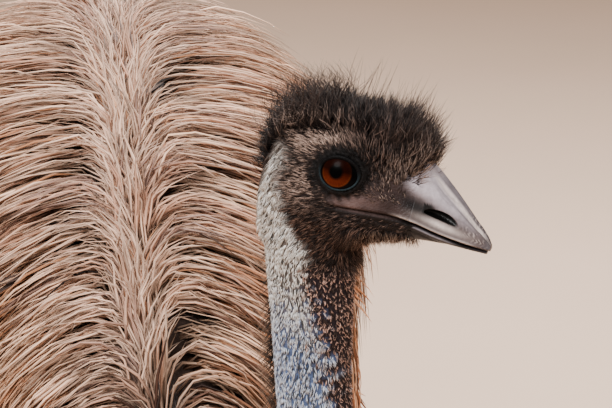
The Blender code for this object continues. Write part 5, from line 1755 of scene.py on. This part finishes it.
def makeLongHair():
    # Curling tufts behind the crown, the forelock, single hairs that stand up, the nape's fringe and lashes
    draw = np.random.default_rng(longHair["seed"])
    parts = []
    rings = longHair["rings"]
    t = np.linspace(0, 1, rings)

    def gather(roots, outs, ways, long, lift, lay, curl, wide, base, tip, places, free=0.0):
        count = len(roots)
        line, sides = strandLines(
            roots, outs, ways, long, lift, lay, np.full(count, curl), rings, draw, np.full(count, free)
        )
        wides = (wide * draw.uniform(0.7, 1.3, count))[:, None] * (1 - 0.8 * t[None] ** 1.5)
        tone = draw.uniform(0.3, 1.0, count)[:, None, None]
        tint = base + (tip - base) * ramp(0.2, 1.0, t)[None, :, None] * tone
        parts.append((line, sides, wides, tint * draw.uniform(0.75, 1.2, count)[:, None, None], places))

    def onCrown(count, fromX, toX, toDegrees, way, jitter):
        x, sign = draw.uniform(fromX, toX, count), draw.choice((-1.0, 1.0), count)
        degrees = draw.uniform(0, toDegrees, count)
        roots, outs = onSkin(headRoots(x, degrees, sign))
        ways = (np.tile(np.array(way, float), (count, 1)) + draw.normal(0, jitter, (count, 3))) @ headAxes
        return roots, outs, ways, np.stack([x * 8 + 0.6, sign * degrees / 200 + 0.5], axis=1)

    count = longHair["crest"]
    roots, outs, ways, places = onCrown(count, -0.052, -0.010, 55, (-0.42, 0.0, 1.0), 0.34)
    gather(roots, outs, ways, draw.uniform(0.026, 0.046, count), np.full(count, 14.0), np.full(count, 0.0), 0.90,
           longHair["wide"], longHair["dark"], longHair["tip"], places, 1.0)
    count = longHair["fringe"]
    roots, outs, ways, places = onCrown(count, 0.041, 0.0525, 80, (0.62, 0.0, 0.55), 0.24)
    gather(roots, outs, ways, draw.uniform(0.007, 0.014, count), draw.uniform(20, 40, count),
           draw.uniform(-50, -15, count), 0.14, longHair["wide"] * 0.9, longHair["dark"], longHair["light"], places, 1.0)
    count = longHair["forelock"]
    roots, outs, ways, places = onCrown(count, 0.024, 0.047, 70, (0.26, 0.0, 1.0), 0.18)
    gather(roots, outs, ways, draw.uniform(0.018, 0.040, count), draw.uniform(5, 25, count),
           draw.uniform(-15, 15, count), 0.16, longHair["wide"], longHair["dark"], longHair["tip"], places, 1.0)
    count = longHair["single"]
    roots, outs, ways, places = onCrown(count, -0.020, 0.044, 35, (0.22, 0.0, 1.0), 0.14)
    gather(roots, outs, ways, draw.uniform(*longHair["singleLong"], count), np.full(count, 8.0),
           draw.uniform(-15, 10, count), 0.12, longHair["wide"] * 0.9, longHair["dark"], longHair["tip"], places, 1.0)
    count = longHair["nape"]
    place = draw.uniform(9.6, 12.0, count)
    angle = np.radians(draw.normal(0, 13, count))
    roots, outs = onSkin(trunkPoints(place, angle))
    local = toHead(roots)
    keep = (local[:, 2] < -0.012) & (draw.uniform(0, 1, count) < np.interp(local[:, 2], (-0.110, -0.095, -0.035), (1.0, 0.12, 0.30)))
    roots, outs, place, angle, local = roots[keep], outs[keep], place[keep], angle[keep], local[keep]
    count = len(roots)
    _, along, left, _ = trunkFrame(place)
    size = np.interp(local[:, 2], (-0.16, -0.06, -0.02), (1.0, 0.75, 0.35))
    gather(roots, outs, -along + left * draw.normal(0, 0.35, (count, 1)), draw.uniform(0.014, 0.027, count) * size,
           draw.uniform(35, 62, count), draw.uniform(5, 45, count), 0.30, longHair["wide"] * 1.15,
           longHair["dark"], longHair["light"] * 0.8, np.stack([angle + 0.5, place / 12], axis=1))
    count = longHair["chin"]
    x, degrees = draw.uniform(0.012, 0.0535, count), draw.uniform(-72, 72, count)
    _, wide, bottom = rowsAt(headForm["skull"], x)
    lip, = rowsAt(headForm["mouth"], x)
    turn = np.radians(degrees)
    under = np.stack([x, 0.8 * wide * np.sin(turn), lip + (bottom - lip) * np.cos(turn) ** 0.6], axis=1)
    roots, outs = onSkin(fromHead(under))
    ways = (np.array([[0.55, 0.0, -1.0]]) + draw.normal(0, 0.25, (count, 3))) @ headAxes
    gather(roots, outs, ways, draw.uniform(0.0045, 0.0095, count), np.full(count, 30.0), np.full(count, 30.0), 0.12,
           longHair["wide"] * 0.9, longHair["dark"], longHair["light"], np.stack([x * 6, turn], axis=1), 0.8)
    for side in (1, -1):
        count = longHair["lashes"]
        axes = gazeAxes(side, eyeForm["lidForward"], eyeForm["lidUp"])
        turn = np.radians(draw.uniform(18, 165, count))
        out = np.stack([
            eyeForm["lidWide"] * np.cos(turn) * 1.10, 0 * turn, eyeForm["lidTall"] * np.sin(turn) * 1.12
        ], axis=1)
        out[:, 1] = np.sqrt(eyeForm["radius"] ** 2 - (out ** 2).sum(axis=1)) + 0.0008
        centre = np.array(eyeForm["at"]) * (1, side, 1)
        roots = fromHead(centre + out @ axes)
        outs = unit(out @ axes @ headAxes)
        ways = unit((out * (1, 0, 1)) @ axes @ headAxes)
        gather(roots, outs, ways, draw.uniform(0.0028, 0.0050, count), np.full(count, 50.0), np.full(count, 75.0),
               0.1, 0.00028, paint(12, 10, 11), paint(26, 22, 22),
               np.stack([turn / 4, np.full(count, 0.5 + side * 0.3)], axis=1))
    line, sides, wides, tint, places = (np.concatenate([part[i] for part in parts]) for i in range(5))
    return tuftMesh("longHair", line, sides, wides, wides * 0.5, tint, spreadOver(places), "hair")


coats.append(makeLongHair())

legCoat = {
    "seed": 41, "rings": 6, "count": 2200, "long": (0.055, 0.105), "wide": 0.0042, "from": 0.10, "to": 0.93,
    "wingCount": 650, "wingLong": (0.06, 0.10), "wingWide": 0.0050,
}


def makeLegCoat():
    # Shaggy feathers down each thigh to the hock, and the plumes of the small wings
    draw = np.random.default_rng(legCoat["seed"])
    made = []
    for side, name in ((1, "thighPlumesLeft"), (-1, "thighPlumesRight")):
        points = [mirroredPoint(legForm[key], side) for key in ("hip", "calf", "hock")]
        count = legCoat["count"]
        share = draw.uniform(legCoat["from"], legCoat["to"], count)
        turn = draw.uniform(0, 2 * math.pi, count)
        centre = smoothRows(points, 2 * share)
        wide, long = rowsAt(legForm["thigh"], share)
        seeds = centre + np.stack([wide * np.sin(turn), -long * np.cos(turn), 0 * turn], axis=1)
        roots, outs = onSkin(seeds)
        ways = unit(mirroredPoint(legForm["hock"], side) - points[0]) + draw.normal(0, 0.12, (count, 3))
        length = draw.uniform(*legCoat["long"], count) * np.interp(share, (0.5, 0.93), (1.0, 0.42))
        lift = np.interp(share, (0.3, 0.9), (16, 12)) + draw.normal(0, 4, count)
        line, sides = strandLines(roots, outs, ways, length, lift, lift * 0.2, np.full(count, 0.12), legCoat["rings"], draw)
        t = np.linspace(0, 1, legCoat["rings"])
        size = np.interp(share, (0.4, 0.93), (1.0, 0.5)) * draw.uniform(0.6, 1.3, count) * legCoat["wide"]
        wides = size[:, None] * plumeTaper(t)[None]
        pick = np.clip(0.42 + draw.normal(0, 0.28, count) - 0.25 * ramp(0.6, 0.95, share), 0, 1)
        tint = withRootShade(fromStops(pick, (0.0, 0.35, 0.7, 1.0)), t)
        spots = spreadOver(np.stack([turn, share], axis=1))
        made.append(tuftMesh(name, line, sides, wides, wides * 0.24, tint, spots, "plume"))
    parts = []
    for side in (1, -1):
        root, tip = mirroredPoint(wingForm["root"], side), mirroredPoint(wingForm["tip"], side)
        shoulder = mirroredPoint(wingForm["shoulder"], side)
        count = legCoat["wingCount"]
        share = draw.uniform(-0.3, 1.0, count)
        centre = np.where(
            share[:, None] >= 0, root + (tip - root) * share[:, None], root + (shoulder - root) * (-share[:, None] / 0.35)
        )
        along = unit(tip - root)
        out = unit(np.array([side, 0.0, 0.0]) - along * along[0] * side)
        across = np.cross(along, out)
        turn = draw.uniform(0, 2 * math.pi, count)
        seeds = (
            centre + np.outer(np.sin(turn), across) * wingForm["wide"] + np.outer(np.cos(turn), out) * 0.014
        )
        roots, outs = onSkin(seeds)
        ways = np.tile(unit(along + np.array([-0.22 * side, 0.35, -0.15])), (count, 1)) + draw.normal(0, 0.09, (count, 3))
        length = draw.uniform(*legCoat["wingLong"], count)
        line, sides = strandLines(
            roots, outs, ways, length, np.full(count, 6.0), np.full(count, -10.0), np.full(count, 0.08), 6, draw
        )
        t = np.linspace(0, 1, 6)
        wides = (draw.uniform(0.6, 1.3, count) * legCoat["wingWide"])[:, None] * plumeTaper(t)[None]
        pick = np.clip(0.5 + draw.normal(0, 0.26, count), 0, 1)
        tint = withRootShade(fromStops(pick, (0.0, 0.3, 0.6, 1.0)), t)
        parts.append((line, sides, wides, tint, np.stack([turn + 7 * (side > 0), share], axis=1)))
    line, sides, wides, tint, places = (np.concatenate([part[i] for part in parts]) for i in range(5))
    made.append(tuftMesh("wingPlumes", line, sides, wides, wides * 0.24, tint, spreadOver(places), "plume"))
    return made


coats += makeLegCoat()


# Scutes of the legs and toes: one plate, repeated along each by Geometry Nodes
scuteForm = {
    "across": 12, "down": 5, "spread": 62.0, "thick": 0.085,
    "legCount": 24, "legFrom": 0.16, "legTo": 0.97, "toeStep": 0.0062,
    "tone": (paint(104, 92, 84), paint(66, 57, 52)),
}


def scutePlate():
    # A bent shield on a unit cylinder about z, its free lower edge standing off the leg; front is +x
    columns, rows = scuteForm["across"], scuteForm["down"]
    outer, inner = [], []
    for j in range(rows):
        v = j / (rows - 1)
        for i in range(columns):
            s = 2 * i / (columns - 1) - 1
            turn = math.radians(scuteForm["spread"]) * s
            edge = (1 - abs(s) ** 4) ** 0.5
            high = 0.5 - v * (0.62 + 0.5 * edge)
            lift = 1.0 + scuteForm["thick"] * (0.25 + 0.75 * v) * edge
            outer.append((lift * math.cos(turn), lift * math.sin(turn), high))
            inner.append((0.94 * math.cos(turn), 0.94 * math.sin(turn), high))
    points = outer + inner
    size = columns * rows
    faces = []
    for j in range(rows - 1):
        for i in range(columns - 1):
            a = j * columns + i
            quad = [a, a + 1, a + 1 + columns, a + columns]
            faces.append(quad[::-1])
            faces.append([corner + size for corner in quad])
    border = (
        [i for i in range(columns)] + [j * columns + columns - 1 for j in range(1, rows)]
        + [(rows - 1) * columns + i for i in range(columns - 2, -1, -1)]
        + [j * columns for j in range(rows - 2, 0, -1)]
    )
    for k, corner in enumerate(border):
        after = border[(k + 1) % len(border)]
        faces.append([corner, after, after + size, corner + size])
    plate = newPiece("scutePlate", points, faces, "scute")
    work = bmesh.new()
    work.from_mesh(plate.data)
    bmesh.ops.recalc_face_normals(work, faces=work.faces)
    work.to_mesh(plate.data)
    work.free()
    plate.data.shade_smooth()
    setTint(plate, np.repeat(scuteForm["tone"][0][None], len(points), axis=0))
    return plate


def scuteTree():
    tree = bpy.data.node_groups.new("scuteRow", "GeometryNodeTree")
    tree.interface.new_socket("Geometry", in_out="INPUT", socket_type="NodeSocketGeometry")
    tree.interface.new_socket("Plate", in_out="INPUT", socket_type="NodeSocketObject")
    tree.interface.new_socket("Size", in_out="INPUT", socket_type="NodeSocketFloat").default_value = 1.0
    tree.interface.new_socket("Uneven", in_out="INPUT", socket_type="NodeSocketFloat").default_value = 0.05
    tree.interface.new_socket("Finish", in_out="INPUT", socket_type="NodeSocketMaterial")
    tree.interface.new_socket("Geometry", in_out="OUTPUT", socket_type="NodeSocketGeometry")
    given, result = add(tree, "NodeGroupInput"), add(tree, "NodeGroupOutput")
    points = add(tree, "GeometryNodeMeshToPoints")
    plate = add(tree, "GeometryNodeObjectInfo")
    place = add(tree, "GeometryNodeInstanceOnPoints")
    turn = add(tree, "FunctionNodeAxesToRotation", primary_axis="Z", secondary_axis="X")
    real = add(tree, "GeometryNodeRealizeInstances")
    finish = add(tree, "GeometryNodeSetMaterial")
    uneven = add(tree, "FunctionNodeRandomValue", {"Seed": 5}, data_type="FLOAT")
    spread = add(tree, "ShaderNodeMath", {2: 1.0}, operation="MULTIPLY_ADD")
    for socket, value in ((uneven.inputs[2], -1.0), (uneven.inputs[3], 1.0)):
        socket.default_value = value
    named = {}
    for label in ("bone", "front", "grow"):
        named[label] = add(tree, "GeometryNodeInputNamedAttribute", data_type="FLOAT_VECTOR")
        named[label].inputs["Name"].default_value = label
    scale = add(tree, "ShaderNodeVectorMath", operation="SCALE")
    scaleMore = add(tree, "ShaderNodeVectorMath", operation="SCALE")
    wire(
        tree, (given, "Geometry", points, "Mesh"), (given, "Plate", plate, "Object"),
        (points, "Points", place, "Points"), (plate, "Geometry", place, "Instance"),
        (named["bone"], "Attribute", turn, "Primary Axis"),
        (named["front"], "Attribute", turn, "Secondary Axis"), (turn, "Rotation", place, "Rotation"),
        (uneven, 1, spread, 0), (given, "Uneven", spread, 1), (named["grow"], "Attribute", scale, 0),
        (given, "Size", scale, "Scale"), (scale, "Vector", scaleMore, 0),
        (spread, "Value", scaleMore, "Scale"), (scaleMore, "Vector", place, "Scale"),
        (place, "Instances", real, "Geometry"), (real, "Geometry", finish, "Geometry"),
        (given, "Finish", finish, "Material"), (finish, "Geometry", result, "Geometry"),
    )
    return tree


def socketNamed(tree, name):
    for item in tree.interface.items_tree:
        if item.name == name and item.in_out == "INPUT":
            return item.identifier


def scutePlaces():
    # Place, the bone's own way (upward or back), the front and the size of each scute
    places = []
    for side in (1, -1):
        hock, ankle = mirroredPoint(legForm["hock"], side), ankleAt(side)
        bone = unit(hock - ankle)
        front = unit(np.cross(-bone, (1.0, 0.0, 0.0)))
        step = (
            np.linalg.norm(hock - ankle) * (scuteForm["legTo"] - scuteForm["legFrom"]) / scuteForm["legCount"]
        )
        for share in np.linspace(scuteForm["legFrom"], scuteForm["legTo"], scuteForm["legCount"]):
            wide, long = (value.item() for value in rowsAt(legForm["shank"], np.array([share])))
            places.append((hock + (ankle - hock) * share, bone, front, (long * 1.0, wide * 1.0, step * 1.15)))
        for _, degrees, length, half in legForm["toes"]:
            way = toeAxis(side, degrees)
            first = 0.030
            for far in np.arange(first, length - 0.003, scuteForm["toeStep"]):
                share = far / length
                size = half * (1 - legForm["toeTaper"] * share)
                size *= 1 + legForm["padSwell"] * math.cos(share * legForm["toePads"] * 2 * math.pi)
                tall = size * legForm["toeTall"]
                centre = heelAt(side) + way * far + (0, 0, tall * 0.5)
                places.append((centre, -way, np.array([0.0, 0.0, 1.0]), (tall * 0.53, size * 0.98, scuteForm["toeStep"] * 1.25)))
    return places


def makeScutes():
    plate, tree = scutePlate(), scuteTree()
    places = scutePlaces()
    row = newPiece("legScutes", [entry[0] for entry in places], [])
    for k, label in ((1, "bone"), (2, "front"), (3, "grow")):
        layer = row.data.attributes.new(label, "FLOAT_VECTOR", "POINT")
        layer.data.foreach_set("vector", np.array([entry[k] for entry in places], np.float32).ravel())
    step = row.modifiers.new("scutes", "NODES")
    step.node_group = tree
    step[socketNamed(tree, "Plate")] = plate
    step[socketNamed(tree, "Size")] = 1.0
    step[socketNamed(tree, "Uneven")] = 0.025
    step[socketNamed(tree, "Finish")] = finishes["scute"]
    bpy.context.view_layer.update()
    graph = bpy.context.evaluated_depsgraph_get()
    result = bpy.data.meshes.new_from_object(row.evaluated_get(graph))
    row.modifiers.clear()
    row.data = result
    bpy.data.objects.remove(plate)
    result.shade_smooth()
    points = readPoints(result)
    count = scuteForm["across"] * scuteForm["down"] * 2
    edge = np.tile(np.repeat(np.linspace(0, 1, scuteForm["down"]), scuteForm["across"]), 2 * len(points) // count)
    light, dark = scuteForm["tone"]
    setTint(row, light + (dark - light) * ramp(0.35, 1.0, edge[:len(points)])[:, None])
    return row


legScutes = makeScutes()
print("emu: scutes", len(legScutes.data.polygons), "faces")


# Claws
clawForm = {
    "long": 0.030, "drop": 0.0055, "share": 0.58, "clear": 0.0010, "wide": 0.62, "tall": 0.80, "blunt": 0.10,
    "gap": 0.0003, "rings": 18, "sides": 24, "root": paint(58, 50, 46), "tip": paint(26, 22, 21),
}


def makeClaw(side, toe, node):
    _, degrees, length, half = toe
    way = toeAxis(side, degrees)
    root = heelAt(side) + way * length
    wide = half * clawForm["share"]
    across = np.array([-way[1], way[0], 0.0])
    turn = 2 * math.pi * np.arange(clawForm["sides"]) / clawForm["sides"]
    rings = []
    for share in np.linspace(0, 1, clawForm["rings"]):
        size = max(1.0 - share ** 1.4, clawForm["blunt"] * 0.8)
        centre = root + way * (clawForm["gap"] + clawForm["long"] * share)
        centre[2] = wide + clawForm["clear"] - clawForm["drop"] * share ** 1.6
        under = 1 - 0.28 * np.clip(-np.cos(turn), 0, 1)
        ridge = 1 + 0.10 * np.exp(-((np.abs(turn - math.pi) - math.pi) / 0.35) ** 2)
        rings.append(
            centre + np.outer(np.sin(turn) * wide * clawForm["wide"] * size, across)
            + np.outer(np.cos(turn) * wide * clawForm["tall"] * size * under * ridge, (0, 0, 1))
        )
    claw = loft(node + "Horn", rings, "claw")
    along = (readPoints(claw.data) - root) @ way / clawForm["long"]
    setTint(claw, clawForm["root"] + (clawForm["tip"] - clawForm["root"]) * ramp(0.0, 0.8, along)[:, None])
    return settle(claw, "claw", node)


for side, sideName in ((1, "left"), (-1, "right")):
    for toe in legForm["toes"]:
        makeClaw(side, toe, f"{sideName}_{toe[0]}_claw")
print("emu: claws")

# What rides where, and what each piece stands for
settle(
    skin, "neck_skin", "neck_upper", "neck_middle", "neck_bend", "neck_lower", "torso", "tail", "head",
    *[f"{side}_{part}" for side in ("left", "right") for part in ("wing", "thigh", "shank", "foot")],
)
settle(upperBill, "bill_horn", "upper_bill")
settle(lowerBill, "bill_horn", "lower_bill")
settle(leftEye, "eye", "left_eye")
settle(rightEye, "eye", "right_eye")
settle(eyelids, "face_skin")
settle(legScutes, "leg_scale")
for coat in coats:
    settle(coat, "face_skin" if coat.name.startswith(("crown", "face", "long")) else "plumage")

# Floor, light and camera
studio = {
    "floor": paint(223, 193, 170), "floorSize": 9.0, "sky": paint(226, 210, 196), "skyPower": 0.72,
    "key": ((-1.3, -1.9, 3.4), 1.6, 150.0), "fill": ((2.6, -1.6, 1.9), 1.8, 34.0),
    "rim": ((0.9, 2.2, 3.0), 1.6, 210.0),
}


def floorFinish():
    made, tree, shader = newFinish("floorFinish", 0.85)
    place = add(tree, "ShaderNodeTexCoord")
    clouds = useGroup(tree, "mottle", Scale=1.4, Low=0.96, High=1.03)
    clouds.inputs["Colour"].default_value = (*studio["floor"], 1.0)
    wire(
        tree, (place, "Object", clouds, "Vector"), (clouds, "Colour", shader, "Base Color"),
    )
    return made


def makeStudio():
    finishes["floor"] = floorFinish()
    half = studio["floorSize"]
    corners = [(-half, -half, -0.0005), (half, -half, -0.0005), (half, half, -0.0005), (-half, half, -0.0005)]
    floor = newPiece("studioFloor", corners, [[0, 1, 2, 3]], "floor", False)
    for name in ("key", "fill", "rim"):
        at, size, power = studio[name]
        lamp = bpy.data.lights.new(name + "Light", "AREA")
        lamp.shape = "DISK"
        lamp.size = size
        lamp.energy = power
        holder = bpy.data.objects.new(name + "Light", lamp)
        holder.location = at
        holder.rotation_euler = (Vector((0.05, -0.2, 1.0)) - Vector(at)).to_track_quat("-Z", "Y").to_euler()
        bpy.context.scene.collection.objects.link(holder)
    world = bpy.data.worlds.new("softSky")
    world.use_nodes = True
    sky = world.node_tree.nodes["Background"]
    sky.inputs["Color"].default_value = (*studio["sky"], 1.0)
    sky.inputs["Strength"].default_value = studio["skyPower"]
    bpy.context.scene.world = world


view = {
    "azimuth": -7.0, "elevation": 20.0, "distance": 1.70, "lens": 150.0, "sensor": 36.0,
    # where the point between the eyes falls in a frame of 612 by 408, and that frame's middle
    "headPixel": (351.5, 166.5), "middlePixel": (306.0, 204.0), "pixelsPerMetre": 1500.0,
}


def makeCamera():
    a, e = math.radians(view["azimuth"]), math.radians(view["elevation"])
    toCamera = Vector((math.sin(a) * math.cos(e), -math.cos(a) * math.cos(e), math.sin(e)))
    right = Vector((math.cos(a), math.sin(a), 0.0))
    up = Vector((-math.sin(a) * math.sin(e), math.cos(a) * math.sin(e), math.cos(e)))
    across = (view["headPixel"][0] - view["middlePixel"][0]) / view["pixelsPerMetre"]
    above = (view["middlePixel"][1] - view["headPixel"][1]) / view["pixelsPerMetre"]
    at = Vector(headPlace["at"]) + toCamera * view["distance"] - right * across - up * above
    lens = bpy.data.cameras.new("photoView")
    lens.lens = view["lens"]
    lens.sensor_width = view["sensor"]
    camera = bpy.data.objects.new("photoView", lens)
    camera.matrix_world = Matrix((
        (right.x, up.x, toCamera.x, at.x), (right.y, up.y, toCamera.y, at.y),
        (right.z, up.z, toCamera.z, at.z), (0, 0, 0, 1),
    ))
    bpy.context.scene.collection.objects.link(camera)
    bpy.context.scene.camera = camera


makeStudio()
makeCamera()
print("emu: studio and camera")
